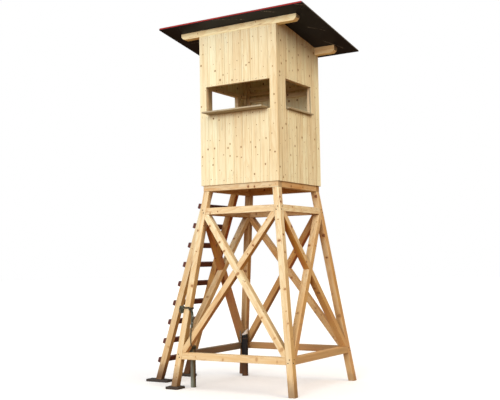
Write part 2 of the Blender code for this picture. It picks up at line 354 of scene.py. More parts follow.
def selectEdges(piece, test):
    bpy.ops.mesh.select_all(action="DESELECT")
    mesh = bmesh.from_edit_mesh(piece.data)
    for edge in mesh.edges:
        if test(edge):
            edge.select = True
    mesh.select_flush_mode()
    bmesh.update_edit_mesh(piece.data)


def selectFaces(piece, test):
    bpy.ops.mesh.select_mode(type="FACE")
    bpy.ops.mesh.select_all(action="DESELECT")
    mesh = bmesh.from_edit_mesh(piece.data)
    mesh.normal_update()
    for face in mesh.faces:
        if test(face):
            face.select = True
    mesh.select_flush_mode()
    bmesh.update_edit_mesh(piece.data)


def softenEdges(piece, width, segments=2, sharpness=0.4):
    openPiece(piece)
    selectEdges(piece, lambda edge: len(edge.link_faces) == 2 and edge.calc_face_angle(0) > sharpness)
    bpy.ops.mesh.bevel(offset=width, offset_type="OFFSET", segments=segments, affect="EDGES",
                       clamp_overlap=True)
    closePiece()


def moveSome(piece, test, step):
    for point in piece.data.vertices:
        if test(point.co):
            point.co += Vector(step)


def applyPlace(piece):
    piece.data.transform(piece.matrix_world)
    piece.matrix_world = Matrix.Identity(4)
    return piece


def shapedBlock(name, low, high, bevel=0.003, segments=2, taper=None):
    bpy.ops.mesh.primitive_cube_add(size=1, location=(Vector(low) + Vector(high)) / 2)
    block = bpy.context.object
    block.name = name
    block.scale = Vector(high) - Vector(low)
    bpy.context.view_layer.update()
    applyPlace(block)
    if taper:
        for point in block.data.vertices:
            taper(point.co)
    softenEdges(block, bevel, segments)
    return block


def joinPieces(pieces, name):
    bpy.ops.object.select_all(action="DESELECT")
    for piece in pieces:
        piece.select_set(True)
    bpy.context.view_layer.objects.active = pieces[0]
    if len(pieces) > 1:
        bpy.ops.object.join()
    joined = bpy.context.view_layer.objects.active
    joined.name = name
    joined.data.name = name
    return joined


def finishPiece(piece, material, nodes=()):
    piece.data.materials.clear()
    piece.data.materials.append(material)
    pickPiece(piece)
    bpy.ops.object.shade_smooth_by_angle(angle=smoothUnder)
    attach(piece, "root")
    if nodes:
        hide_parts(*nodes)


def longestEdge(piece):
    mesh = piece.data
    best = max(mesh.edges, key=lambda edge: (mesh.vertices[edge.vertices[0]].co
                                             - mesh.vertices[edge.vertices[1]].co).length)
    along = mesh.vertices[best.vertices[1]].co - mesh.vertices[best.vertices[0]].co
    if along.z < -0.001 or (abs(along.z) <= 0.001 and along.x + along.y < 0):
        along = -along
    return along.normalized()


# Wood: every timber and board carries its own grain, knots and tone
plainWood = {
    "endDark": 0.0,  # how dark its end grain is
    "ringDepth": 0.45,
    "knotShape": (1.0, 0.9),
    "cracks": 0.8,
    "twoFaced": False,  # a board's knots go through from face to face
    "ageing": 0.7,  # how much darker it is near the ground
    "mottle": 0.22,
    "stain": 0.2,
    "turning": 0.0,  # how far the painted side shade below counts; a negative weight paints light on those faces instead
    # Under paints shade on faces underneath, and paints light on them where it is negative
    "under": 0.0,
}
woods = {
    "boards": {
        **plainWood,
        "early": (0.885, 0.820, 0.562),
        "late": (0.75, 0.595, 0.315),
        "streak": (0.83, 0.655, 0.355),
        "knotRim": (0.42, 0.22, 0.08),
        "knotCore": (0.085, 0.035, 0.014),
        "grey": (0.25, 0.19, 0.13),
        "weathered": (0.34, 0.265, 0.125),
        "endDark": 0.3,
        "ringWidth": 0.0042,
        "ringDepth": 0.40,
        "rough": 0.62,
        "pith": (0.055, 0.11),
        "knotPitch": 0.24,
        "knotChance": 0.85,
        "knotSize": (0.006, 0.019),
        "knotShape": (0.85, 1.0),
        "cracks": 0.45,
        "twoFaced": True,
        "mottle": 0.20,
        "stain": 0.12,
        "toneRange": 0.07,
    },
    "timber": {
        **plainWood,
        "early": (0.800, 0.722, 0.490),
        "late": (0.62, 0.405, 0.180),
        "streak": (0.72, 0.505, 0.250),
        "knotRim": (0.33, 0.135, 0.047),
        "knotCore": (0.125, 0.045, 0.019),
        "grey": (0.080, 0.066, 0.052),
        "weathered": (0.30, 0.17, 0.070),
        "endDark": 0.35,
        "ringWidth": 0.0046,
        "rough": 0.60,
        "pith": (0.005, 0.035),
        "knotPitch": 0.24,
        "knotChance": 0.55,
        "knotSize": (0.005, 0.022),
        "knotShape": (1.15, 0.8),
        "cracks": 0.85,
        "ageing": 1.15,
        "mottle": 0.34,
        "stain": 0.55,
        # Timbers take the painted shade of faces turned from the light
        "turning": 1.0,
        # Timbers take painted shade on their undersides
        "under": 0.22,
        "toneRange": 0.06,
    },
    "inner": {
        **plainWood,
        "early": (0.84, 0.68, 0.45),
        "late": (0.64, 0.46, 0.27),
        "streak": (0.73, 0.55, 0.33),
        "knotRim": (0.26, 0.11, 0.04),
        "knotCore": (0.09, 0.03, 0.012),
        "grey": (0.16, 0.12, 0.085),
        "weathered": (0.26, 0.11, 0.04),
        "endDark": 0.3,
        "ringWidth": 0.0045,
        "rough": 0.68,
        "pith": (0.03, 0.07),
        "knotPitch": 0.35,
        "knotChance": 0.45,
        "knotSize": (0.005, 0.011),
        "twoFaced": True,
        "toneRange": 0.08,
    },
    "rung": {
        **plainWood,
        "early": (0.135, 0.038, 0.026),
        "late": (0.075, 0.018, 0.013),
        "streak": (0.11, 0.045, 0.034),
        "knotRim": (0.06, 0.018, 0.012),
        "knotCore": (0.025, 0.009, 0.007),
        "grey": (0.15, 0.10, 0.085),
        "weathered": (0.06, 0.018, 0.012),
        "ringWidth": 0.0045,
        "ringDepth": 0.5,
        "rough": 0.55,
        "pith": (0.01, 0.03),
        "knotPitch": 0.30,
        "knotChance": 0.3,
        "knotSize": (0.005, 0.010),
        "toneRange": 0.15,
    },
    "pad": {
        **plainWood,
        "early": (0.070, 0.056, 0.048),
        "late": (0.030, 0.023, 0.020),
        "streak": (0.125, 0.105, 0.092),
        "knotRim": (0.05, 0.038, 0.03),
        "knotCore": (0.02, 0.015, 0.012),
        "grey": (0.17, 0.16, 0.145),
        "weathered": (0.05, 0.038, 0.03),
        "ringWidth": 0.0038,
        "ringDepth": 0.7,
        "rough": 0.88,
        "pith": (0.03, 0.06),
        "twoFaced": True,
        "toneRange": 0.1,
    },
    "stake": {
        **plainWood,
        "early": (0.185, 0.185, 0.140),
        "late": (0.045, 0.043, 0.034),
        "streak": (0.420, 0.425, 0.330),
        "knotRim": (0.08, 0.075, 0.055),
        "knotCore": (0.03, 0.028, 0.022),
        "grey": (0.27, 0.28, 0.23),
        "weathered": (0.08, 0.075, 0.055),
        "ringWidth": 0.0040,
        "ringDepth": 0.6,
        "rough": 0.85,
        "pith": (0.0, 0.006),
        "cracks": 1.0,
        "ageing": 0.4,
        "mottle": 0.75,
        "stain": 0.4,
        # The stakes take a stronger painted shade on faces turned from the light
        "turning": 1.6,
        "toneRange": 0.05,
    },
}
woods["sill"] = {
    **woods["boards"],
    "early": (0.60, 0.53, 0.36),
    "late": (0.33, 0.27, 0.17),
    "streak": (0.43, 0.37, 0.25),
    "grey": (0.085, 0.072, 0.052),
    "mottle": 0.3,
}
woods["beam"] = {
    **woods["timber"],
    "early": (0.895, 0.720, 0.405),
    "late": (0.69, 0.425, 0.165),
    "grey": (0.105, 0.090, 0.055),
    "endDark": 0.8,
    # The beams' negative under paints light on their undersides
    "under": -0.30,
}
woods["blackStake"] = {
    **woods["stake"],
    "early": (0.135, 0.074, 0.036),
    "late": (0.055, 0.030, 0.018),
    "streak": (0.045, 0.028, 0.020),
    "grey": (0.012, 0.012, 0.014),
}

# How each pattern is drawn out: scale along the grain and across it, noise detail and roughness
grainPatterns = {
    "wander": (0.7, 5.0, 3.0, 0.5),
    "streaks": (1.1, 34.0, 4.0, 0.6),
    "fibres": (22.0, 900.0, 2.0, 0.5),
    "patches": (2.6, 9.0, 3.0, 0.55),
    "cracks": (0.8, 17.0, 2.0, 0.45),
    "stains": (4.0, 24.0, 4.0, 0.65),
}
channelShifts = (  # for red, green and blue: share of the tone, share of the painted side shade, and the least left
    (0.8, 0.95, 0.2),
    (1.6, 1.20, 0.12),
    (2.3, 1.62, 0.06),
)
soil = (0.125, 0.056, 0.022)


def drawnOut(start, grain, pattern, shift=0.0):
    along, across, deep = grain.parts()
    lengthways, crossways, detail, roughness = grainPatterns[pattern]
    place = start.joined(along * lengthways + shift, across * crossways, deep * crossways)
    return place.noise(1.0, detail, roughness)


# Knots: a dark heart, a warm rim and the grain that swirls round them
def knotMarks(start, look, grain, knotSize):
    ragged = grain.noise(130.0, 3.0, 0.6) - 0.5
    lengthways, crossways = look["knotShape"]
    apart = grain.vector("SUBTRACT", start.attribute("knotPlace"))
    apart = apart.vector("MULTIPLY", (lengthways, crossways, crossways)).length()
    near = apart / (knotSize + 0.0001) + ragged * 0.7
    live = knotSize.span(0.009, 0.018)  # a big knot is a live one, with a paler heart
    heart = (1 - near.span(0.55, 1.0)) * (1 - live * 0.4)
    return heart, 1 - near.span(0.9, 1.3), 1 - near.span(0.9, 3.4)


# Late wood of the year rings round an off-centre pith, wandering along the timber
def lateWood(start, look, grain, swirl):
    along, across, deep = grain.parts()
    wander = drawnOut(start, grain, "wander") - 0.5
    flow = start.joined(along * 0.012, across, deep).length()
    rings = flow + wander * 0.030 + swirl * 1.4
    cycle = start.math("FRACT", rings / look["ringWidth"])
    return cycle.span(0.35, 0.90) * (1 - cycle.span(0.93, 1.0))


# What years outdoors do to fresh wood: weather, tone and soil splashed up from the ground; with painted shade
# on faces turned from the light and underneath, and darkening towards the ground
def agedAndShadedWood(start, look, fresh, turned, streaks, patches):
    tone, weather, dirt = start.attribute("tone").parts()
    under = start.attribute("under", 2)
    height = start.place().parts()[2]
    colour = (weather * streaks.span(0.50, 0.62) * 2.0).mix(fresh, look["weathered"])
    # Under paints shade on faces underneath, and paints light on them where it is negative; the patches are
    # the wood's own mottling
    tone = tone - under + (patches - 0.5) * look["mottle"]
    # Painted shade on faces turned from the light, stronger lower down; a negative weight paints light
    # instead
    paintedShading = turned * height.span(0.3, 2.6, 1.9, 0.28)
    shares = []
    for byTone, byTurning, least in channelShifts:
        shares.append(start.math("MAXIMUM", 1.0 + tone * byTone + paintedShading * byTurning, least))
    colour = colour.blended(start.joined(*shares), "MULTIPLY")
    # Darker towards the ground
    broadly = look["ageing"] * (1 - height.span(0.1, 2.5))
    colour = (broadly * (0.24 + streaks * 0.62)).mix(colour, look["late"])
    greyed = weather * (0.45 + patches * 0.5 + streaks * 0.5)
    colour = start.math("MINIMUM", greyed, 1.0).mix(colour, look["grey"])
    splashed = start.place().noise(9.0, 4.0, 0.65)
    lowDown = 1 - (height + splashed * 0.3 - 0.15).span(0.04, dirt * 0.42 + 0.06)
    soiled = dirt * lowDown * (0.75 + splashed * 0.85)
    return start.math("MINIMUM", soiled, 1.0).mix(colour, soil)


def woodMaterial(kind):
    look = woods[kind]
    material, start = newMaterial(f"{kind}_wood")
    grain = start.attribute("grain")
    # The marks are knot size, end grain, and the painted shade of faces turned from the light
    knotSize, endGrain, turned = start.attribute("marks").parts()
    heart, knot, halo = knotMarks(start, look, grain, knotSize)
    late = lateWood(start, look, grain, halo * knotSize)
    streaks = drawnOut(start, grain, "streaks")
    fibres = drawnOut(start, grain, "fibres")
    patches = drawnOut(start, grain, "patches")
    stains = drawnOut(start, grain, "stains").span(0.54, 0.70)
    crackNear = start.math("ABSOLUTE", drawnOut(start, grain, "cracks", 7.3) - 0.5)
    cracks = (1 - crackNear.span(0.0, 0.0055)) * patches.span(0.53, 0.60) * (1 - endGrain * 0.6)

    colour = (late * look["ringDepth"]).mix(look["early"], look["late"])
    for share, shade in (
        (streaks.span(0.42, 0.72) * 0.75, "streak"),
        (fibres.span(0.35, 0.75) * 0.22, "late"),
        (halo * halo * 0.55, "late"),
        (knot * 0.92, "knotRim"),
        (heart * 0.90, "knotCore"),
        (endGrain * look["endDark"], "grey"),
        (cracks * look["cracks"], "knotCore"),
        (stains * look["stain"], "knotRim"),
    ):
        colour = share.mix(colour, look[shade])
    relief = late * 0.35 + fibres * 0.30 + streaks * 0.25 - cracks * 1.6 - knot * 0.25
    setSurface(material, {"Specular IOR Level": 0.35}, {
        "Base Color": agedAndShadedWood(start, look, colour, turned, streaks, patches),
        "Roughness": look["rough"] + streaks * 0.12 - late * 0.06 - knot * 0.10,
        "Normal": bumpOf(start, relief, 0.55, 0.0009),
    })
    return material


woodMaterials = {kind: woodMaterial(kind) for kind in woods}


# Painted shade: faces turned from the light are painted darker than the lit front
paintedShadeBySide = {"down": -0.12, "back": -0.12, "right": -0.28, "left": -0.04}


def paintedShadeOf(normal):
    shares = {"down": -normal.z, "back": normal.y, "right": normal.x, "left": -normal.x}
    return sum(paintedShadeBySide[side] * max(0.0, share) ** 2 for side, share in shares.items())


# The grain's own directions: along it, across the wood's width, and out of its broad face
def grainDirections(along, facing):
    first = Vector(along).normalized()
    third = (Vector(facing) - first * Vector(facing).dot(first)).normalized()
    return first, third.cross(first), third


def coordinatesIn(piece, axes):
    flat = np.empty(len(piece.data.vertices) * 3)
    piece.data.vertices.foreach_get("co", flat)
    return flat.reshape(-1, 3) @ axes.T


# A whorl is its place along the wood and its knots, as face: (along, across, size).
# Faces are 2 and 3 on the far side of the second and third direction, and -2 and -3 on the near side.
def givenWhorls(timberKnots, axes, low, high):
    whorls = []
    for side, distance, offset, size in timberKnots:
        outward = axes @ np.array(sideNormals[side])
        axis = 1 + int(np.argmax(np.abs(outward[1:])))
        sign = 1 if outward[axis] > 0 else -1
        across = (low + high)[3 - axis] / 2 + offset * sign * (1 if axis == 2 else -1)
        whorls.append((low[0] + distance, {(axis + 1) * sign: (low[0] + distance, across, size)}))
    return whorls


def chanceWhorls(dice, look, low, high, knotScale, givenAt):
    chance = look["knotChance"] * (0.4 if givenAt else 1.0)
    smallest, largest = look["knotSize"]
    whorls = []
    at = low[0] + dice.uniform(0.06, look["knotPitch"])
    while at < high[0] - 0.04:
        ring = {}
        for face in (3, -3) if look["twoFaced"] else (2, -2, 3, -3):
            axis = 1 if abs(face) == 3 else 2
            if dice.random() < chance:
                size = (smallest + (largest - smallest) * dice.random() ** 1.8) * knotScale
                along = at + dice.uniform(-0.03, 0.03)
                across = (low + high)[axis] / 2 + dice.uniform(-0.7, 0.7) * (high - low)[axis] / 2
                ring[face] = (along, across, size)
        if look["twoFaced"] and 3 in ring:
            ring[-3] = ring[3]
        if ring and all(abs(at - other) > 0.11 for other in givenAt):
            whorls.append((at, ring))
        at += dice.uniform(0.35, 1.75) * look["knotPitch"]
    return whorls


def boardWhorls(dice, knots, low, high):
    given = sorted(knots)
    at = low[0] + dice.uniform(0.05, 0.3)
    while given and at < high[0] - 0.03:  # small pin knots between the given ones
        if all(abs(at - knot[0]) > 0.07 for knot in given):
            across = (low + high)[1] / 2 + dice.uniform(-0.7, 0.7) * (high - low)[1] / 2
            given.append((at, across, dice.uniform(0.003, 0.006)))
        at += dice.uniform(0.10, 0.34)
    return [(knot[0], {3: knot, -3: knot}) for knot in sorted(given)]


def pithPlace(dice, look, low, high):
    turn = dice.uniform(0, 2 * math.pi)
    reach = dice.uniform(*look["pith"])
    if look["twoFaced"]:
        return dice.uniform(-0.5, 0.5) * (high - low)[1] / 2, reach * dice.choice((-1, 1))
    return reach * math.cos(turn), reach * math.sin(turn)


def storeValues(mesh, name, domain, values):
    kind, field = ("FLOAT_VECTOR", "vector") if values.ndim == 2 else ("FLOAT", "value")
    mesh.attributes.new(name, kind, domain).data.foreach_set(field, values.astype(np.float32).ravel())


# Gives a timber or board its grain direction, pith, knots and tone, and the painted shade of its faces turned
# from the light and underneath. A board's given knots are (along, across, size), and a timber's are (side,
# distance from its lower end, off its middle line, size).
def markWood(piece, kind, along, facing, knots=None, tone=0.0, weather=0.0, dirt=0.0, turning=None,
             under=None, knotScale=1.0, timberKnots=()):
    look = woods[kind]
    turning = look["turning"] if turning is None else turning
    under = look["under"] if under is None else under
    dice = random.Random(piece.name)
    directions = grainDirections(along, facing)
    axes = np.array(directions)
    spots = coordinatesIn(piece, axes)
    low, high = spots.min(0), spots.max(0)
    if knots is None:
        whorls = givenWhorls(timberKnots, axes, low, high)
        whorls += chanceWhorls(dice, look, low, high, knotScale, [at for at, ring in whorls])
        whorls.sort(key=lambda whorl: whorl[0])
    else:
        whorls = boardWhorls(dice, knots, low, high)
    ends = [(one[0] + two[0]) / 2 for one, two in zip(whorls, whorls[1:])]
    if ends:
        slicePiece(piece, [(directions[0] * end, directions[0], None) for end in ends])
        spots = coordinatesIn(piece, axes)

    mesh = piece.data
    pith = pithPlace(dice, look, low, high)
    centre = (low + high) / 2
    shift = np.array([dice.uniform(0, 60) - low[0], pith[0] - centre[1], pith[1] - centre[2]])
    ownTone = tone + dice.uniform(-1, 1) * look["toneRange"]
    storeValues(mesh, "grain", "POINT", spots + shift)
    storeValues(mesh, "tone", "POINT", np.tile([ownTone, weather, dirt], (len(spots), 1)))
    # Painted shade on faces underneath, and painted light where under is negative
    storeValues(mesh, "under", "FACE", np.array([max(0.0, -face.normal.z) * under for face in mesh.polygons]))
    places = np.zeros((len(mesh.polygons), 3))
    marks = np.zeros((len(mesh.polygons), 3))  # knot size, end grain and painted side shade
    for index, polygon in enumerate(mesh.polygons):
        spot = axes @ np.array(polygon.center)
        normal = axes @ np.array(polygon.normal)
        axis = int(np.argmax(np.abs(normal)))
        marks[index, 2] = paintedShadeOf(polygon.normal) * turning
        if axis == 0:
            marks[index, 1] = 1.0
            continue
        face = (axis + 1) * (1 if normal[axis] > 0 else -1)
        segment = sum(1 for end in ends if spot[0] > end)
        ring = whorls[segment][1] if whorls else {}
        if face in ring:
            at, across, size = ring[face]
            spot[0] = at
            spot[3 - axis] = across
            places[index] = spot + shift
            marks[index, 0] = size
    storeValues(mesh, "knotPlace", "FACE", places)
    storeValues(mesh, "marks", "FACE", marks)
    return piece


# Timbers: legs, rails, braces, beams and ladder
timberEdge = {"legs": 0.006, "rails": 0.004, "rungs": 0.005, "sills": 0.003}
timberKnots = {
    "front_right_leg": [
        ("right", 2.529, 0.028, 0.014), ("right", 2.466, 0.012, 0.014), ("front", 2.234, -0.004, 0.007),
        ("front", 1.961, 0.004, 0.017), ("right", 2.036, 0.009, 0.014), ("right", 1.808, 0.003, 0.012),
        ("front", 1.062, -0.017, 0.007), ("front", 0.908, -0.033, 0.012), ("front", 1.337, -0.026, 0.015),
        ("right", 0.720, -0.003, 0.009),
    ],
    "back_right_leg": [
        ("front", 2.052, -0.028, 0.026), ("front", 1.744, -0.002, 0.014), ("front", 0.924, -0.019, 0.025),
        ("right", 1.320, -0.013, 0.009), ("front", 1.236, 0.022, 0.008), ("right", 0.778, 0.036, 0.009),
    ],
    "front_left_leg": [
        ("front", 2.094, 0.037, 0.015), ("front", 1.812, 0.0, 0.007), ("front", 0.280, 0.031, 0.009),
        ("front", 0.130, -0.017, 0.009), ("right", 2.169, 0.038, 0.008),
    ],
    "front_falling_brace": [
        ("front", 2.078, 0.031, 0.017), ("front", 1.798, 0.014, 0.014), ("front", 1.655, 0.020, 0.015),
        ("front", 1.277, 0.008, 0.021), ("front", 1.129, -0.037, 0.008), ("right", 0.659, 0.029, 0.010),
        ("front", 0.598, 0.016, 0.015), ("front", 0.277, -0.001, 0.014), ("right", 0.216, 0.023, 0.012),
        ("front", 0.107, -0.007, 0.026),
    ],
    "front_rising_brace": [
        ("front", 2.103, 0.030, 0.008), ("front", 1.731, -0.016, 0.014), ("front", 1.598, -0.018, 0.008),
    ],
    "front_upper_rail": [("front", 0.198, -0.010, 0.007)],
    "front_lower_rail": [("front", 1.157, 0.006, 0.019), ("front", 1.453, -0.013, 0.013)],
    "right_lower_rail": [("right", 0.375, 0.027, 0.012)],
    "right_upper_rail": [("right", 0.256, 0.023, 0.008)],
    "back_floor_beam": [("front", 0.330, 0.019, 0.012)],
    "right_floor_beam": [("right", 0.584, -0.018, 0.009), ("right", 0.254, -0.025, 0.013)],
    "right_falling_brace": [
        ("right", 1.454, 0.024, 0.014), ("right", 1.712, -0.038, 0.011), ("front", 1.034, 0.005, 0.011),
        ("front", 0.956, -0.020, 0.020), ("right", 0.839, -0.021, 0.009), ("right", 0.534, -0.013, 0.010),
    ],
    "back_rising_brace": [("front", 1.625, -0.009, 0.010)],
    "back_falling_brace": [
        ("front", 1.186, 0.015, 0.017), ("front", 0.634, -0.020, 0.009), ("front", 0.590, 0.024, 0.011),
        ("front", 0.513, -0.038, 0.013), ("front", 0.460, 0.034, 0.010), ("front", 0.173, 0.026, 0.018),
        ("front", 0.109, 0.014, 0.015),
    ],
}

beamNose = {"from": 0.80, "start": 0.858, "lift": -0.004, "round": 0.010, "under": 0.05}


# The roof beams' ends are cut back underneath and rounded off
def shapeNoses(piece):
    below = min(point.co.z for point in piece.data.vertices) + beamNose["under"]
    for point in piece.data.vertices:
        out = point.co.x - middle.x
        if abs(out) > beamNose["from"] and point.co.z < below:
            if abs(out) < beamNose["start"]:
                point.co.x = middle.x + math.copysign(beamNose["start"], out)
            else:
                point.co.z += beamNose["lift"]

    def atNose(edge):
        one, two = edge.verts[0].co, edge.verts[1].co
        level = abs(one.x - two.x) < 0.001
        return level and max(one.z, two.z) < below and abs(one.x - middle.x) > beamNose["from"]

    openPiece(piece)
    selectEdges(piece, atNose)
    bpy.ops.mesh.bevel(offset=beamNose["round"], segments=4, affect="EDGES")
    closePiece()


def dressTimber(node, kind, facing, edge, slot, shape=None, **marks):
    piece = copyNode(node, f"{node}_timber")
    along = longestEdge(piece)
    if shape:
        shape(piece)
    softenEdges(piece, timberEdge[edge])
    markWood(piece, kind, along, facing, timberKnots=timberKnots.get(node, ()), **marks)
    finishPiece(piece, woodMaterials[kind], [node])


# The back legs' low tones and the back left leg's heavy dirt are partly their own colour and soil, and partly
# painted shade where they stand under the cabin
legMarks = {
    "front_right": {"tone": -0.01, "dirt": 0.55},
    "front_left": {"tone": -0.06, "dirt": 0.74},
    "back_right": {"tone": -0.19, "dirt": 0.3, "knotScale": 1.5},
    "back_left": {"tone": -0.16, "weather": 0.08, "dirt": 1.3},
}
for corner, marks in legMarks.items():
    dressTimber(f"{corner}_leg", "timber", sideNormals["front"], "legs", "pine_timber", **marks)

sideMarks = {  # rails without an entry are plain; the low tones of the back and left members are partly their own colour and partly painted shade where they stand under the cabin, and an under value paints shade on a brace's underside
    "left_lower_rail": {"tone": -0.10, "weather": 0.85},
    "back_lower_rail": {"tone": -0.44, "weather": 0.28},
    "front_lower_rail": {"tone": -0.05, "dirt": 0.25},
    "right_lower_rail": {"tone": -0.32, "dirt": 0.25},
    "back_upper_rail": {"tone": -0.20},
    "left_upper_rail": {"tone": -0.15},
    "front_rising_brace": {"tone": -0.10},
    "front_falling_brace": {"tone": 0.03},
    "right_rising_brace": {"tone": -0.17},
    "right_falling_brace": {"tone": -0.08, "under": 0.50},
    "back_rising_brace": {"tone": -0.34, "weather": 0.08, "dirt": 1.6},
    "back_falling_brace": {"tone": -0.20, "weather": 0.08},
    "left_rising_brace": {"tone": -0.12, "weather": 0.04, "turning": 0.6},
    "left_falling_brace": {"tone": -0.20, "weather": 0.10, "under": 0.33, "dirt": 1.6},
}
# A negative under paints light on the floor beams' undersides, and the front floor beam's higher tone is
# partly painted light on it
floorBeamMarks = {"under": -0.12, "knotScale": 0.7}
for side, normal in sideNormals.items():
    for member in ("lower_rail", "upper_rail", "rising_brace", "falling_brace"):
        node = f"{side}_{member}"
        dressTimber(node, "timber", normal, "rails", "pine_timber", **sideMarks.get(node, {}))
    tone = -0.10 if side == "front" else -0.22
    dressTimber(f"{side}_floor_beam", "timber", normal, "rails", "pine_timber", tone=tone, **floorBeamMarks)
# The roof beams' negative weight paints light on their faces turned from the light, and the front beam's high
# tone paints light on it under the eaves
for node, tone in (("front_roof_beam", 0.16), ("rear_roof_beam", -0.04)):
    dressTimber(node, "beam", sideNormals["front"], "rails", "pine_timber", shapeNoses,
                tone=tone, turning=-3.0)
print("stage: tower timbers")

for node, tone, dirt in (("front_stringer", -0.07, 0.8), ("rear_stringer", -0.26, 1.1)):
    dressTimber(node, "timber", sideNormals["left"], "rails", "pine_timber", tone=tone, dirt=dirt)
rungCount = sum(1 for name in cadNodes if name.startswith("rung_"))
for number in range(1, rungCount + 1):
    dressTimber(f"rung_{number}", "rung", sideNormals["left"], "rungs", "rung_wood")
# The sills take the painted shade of faces turned from the light
for node in ("front_sill", "right_sill"):
    dressTimber(node, "sill", upward, "sills", "pine_boards", weather=0.25, turning=1.0)
print("stage: ladder and sills")


# Boards: walls, floor deck and half door
cladding = {
    "cover": 0.1333,
    "widest": 1.3,  # the last board of a wall is at most this many covers wide
    "gap": 0.0020,
    "chamfer": 0.0036,
    "tongue": 0.007,
    "tongueIn": 0.0095,
    "tongueReach": 0.006,
    "tongueTone": -0.1,
    "knotScale": 0.7,
}
photoKnots = {  # along the wall, height above ground, size
    "front": [
        (-0.577, 4.335, 0.010), (-0.350, 4.236, 0.010), (-0.223, 4.165, 0.008), (-0.272, 4.103, 0.011),
        (-0.082, 4.079, 0.009), (0.140, 4.251, 0.008), (0.187, 4.278, 0.008), (-0.579, 3.771, 0.008),
        (-0.388, 3.592, 0.010), (-0.298, 3.564, 0.008), (-0.483, 3.182, 0.009), (-0.376, 3.186, 0.009),
        (-0.130, 3.226, 0.008), (-0.163, 3.175, 0.009), (0.041, 3.171, 0.009), (0.195, 3.224, 0.010),
        (0.262, 3.152, 0.008), (0.332, 3.238, 0.009), (0.423, 3.256, 0.008), (0.479, 3.095, 0.008),
        (0.552, 3.069, 0.009), (-0.574, 3.087, 0.008), (-0.133, 3.066, 0.008), (-0.024, 3.044, 0.008),
        (0.044, 3.038, 0.008), (-0.406, 2.966, 0.009), (0.406, 2.919, 0.009), (0.240, 2.800, 0.009),
        (0.554, 3.815, 0.009),
    ],
    "right": [
        (-0.519, 4.117, 0.012), (-0.521, 4.067, 0.009), (-0.010, 4.228, 0.012), (0.325, 4.204, 0.012),
        (0.478, 3.928, 0.011), (-0.475, 3.384, 0.010), (-0.378, 3.449, 0.012), (-0.086, 3.439, 0.012),
        (0.063, 3.319, 0.012), (0.439, 3.335, 0.011), (-0.560, 2.874, 0.010), (0.362, 2.937, 0.012),
        (-0.478, 2.745, 0.010), (-0.142, 3.184, 0.011), (-0.314, 4.457, 0.010), (-0.254, 4.436, 0.010),
        (-0.173, 4.364, 0.011), (0.122, 4.597, 0.010), (0.210, 4.587, 0.009), (0.455, 4.548, 0.011),
        (0.006, 4.436, 0.010), (0.301, 4.472, 0.012), (-0.473, 4.234, 0.011), (-0.342, 4.292, 0.010),
        (-0.174, 4.192, 0.010), (-0.480, 4.537, 0.010), (0.550, 3.217, 0.009), (-0.266, 3.052, 0.009),
    ],
}
wallTones = {"front": 0.01, "right": 0.06, "back": 0.02, "left": -0.01}
wallWeather = {"front": 0.05, "right": 0.18, "back": 0.05, "left": 0.05}


# Splits a solid into boards. Across and outward are unit vectors; joints are places along across.
def boardParts(node, kind, across, outward, joints, along, knots=None, tone=0.0, weather=0.0,
               knotScale=1.0):
    blank = copyNode(node, f"{node}_blank")
    parts = []
    gap = cladding["gap"] / 2
    for number, (start, end) in enumerate(zip(joints, joints[1:])):
        board = cloneOf(blank, f"{node}_board_{number}")
        cuts = []
        if number:
            cuts.append((across * (start + gap), across, "beyond"))
        if number < len(joints) - 2:
            cuts.append((across * (end - gap), across, "before"))
        if cuts:
            slicePiece(board, cuts)
        softenEdges(board, cladding["chamfer"], 1)
        own = None
        if knots is not None:
            sign = outward.cross(along).dot(across)
            own = [(height, place * sign, size) for place, height, size in knots if start <= place < end]
        markWood(board, kind, along, outward, own, tone, weather, knotScale=knotScale)
        parts.append(board)
    face = max(point.co.dot(outward) for point in blank.data.vertices)
    for number, joint in enumerate(joints[1:-1]):
        tongue = cloneOf(blank, f"{node}_tongue_{number}")
        depth = face - cladding["tongueIn"]
        slicePiece(tongue, [
            (across * (joint - cladding["tongueReach"]), across, "beyond"),
            (across * (joint + cladding["tongueReach"]), across, "before"),
            (outward * depth, outward, "before"),
            (outward * (depth - cladding["tongue"]), outward, "beyond"),
        ])
        markWood(tongue, kind, along, outward, [], tone + cladding["tongueTone"])
        parts.append(tongue)
    drop(blank)
    return parts


def boardJoints(low, high, cover):
    places = [low]
    while places[-1] + cover * cladding["widest"] < high:
        places.append(places[-1] + cover)
    return places + [high]


def wallJoints(side):
    low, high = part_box(f"{side}_wall")
    across = acrossOf(side)
    return boardJoints(low.dot(across), high.dot(across), cladding["cover"])


for side, outward in sideNormals.items():
    node = f"{side}_wall"
    offset = middle.dot(acrossOf(side))
    knots = None
    if side in photoKnots:
        knots = [(place + offset, height, size) for place, height, size in photoKnots[side]]
    boards = boardParts(node, "boards", acrossOf(side), outward, wallJoints(side), upward, knots,
                        wallTones[side], wallWeather[side], cladding["knotScale"])
    finishPiece(joinPieces(boards, f"{side}_wall_boards"), woodMaterials["boards"], [node])
print("stage: walls")

deckLow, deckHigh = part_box("floor_deck")
deckJoints = boardJoints(deckLow.y, deckHigh.y, cladding["cover"])
deck = boardParts("floor_deck", "inner", backward, upward, deckJoints, rightward)
finishPiece(joinPieces(deck, "floor_deck_boards"), woodMaterials["inner"], ["floor_deck"])

halfDoor = {"boards": 6, "tone": -0.03}
doorLow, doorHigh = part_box("half_door")
doorJoints = boardJoints(doorLow.y, doorHigh.y, (doorHigh.y - doorLow.y) / halfDoor["boards"])
door = boardParts("half_door", "boards", backward, sideNormals["left"], doorJoints, upward,
                  tone=halfDoor["tone"])
finishPiece(joinPieces(door, "half_door_boards"), woodMaterials["boards"], ["half_door"])
print("stage: deck and half door")


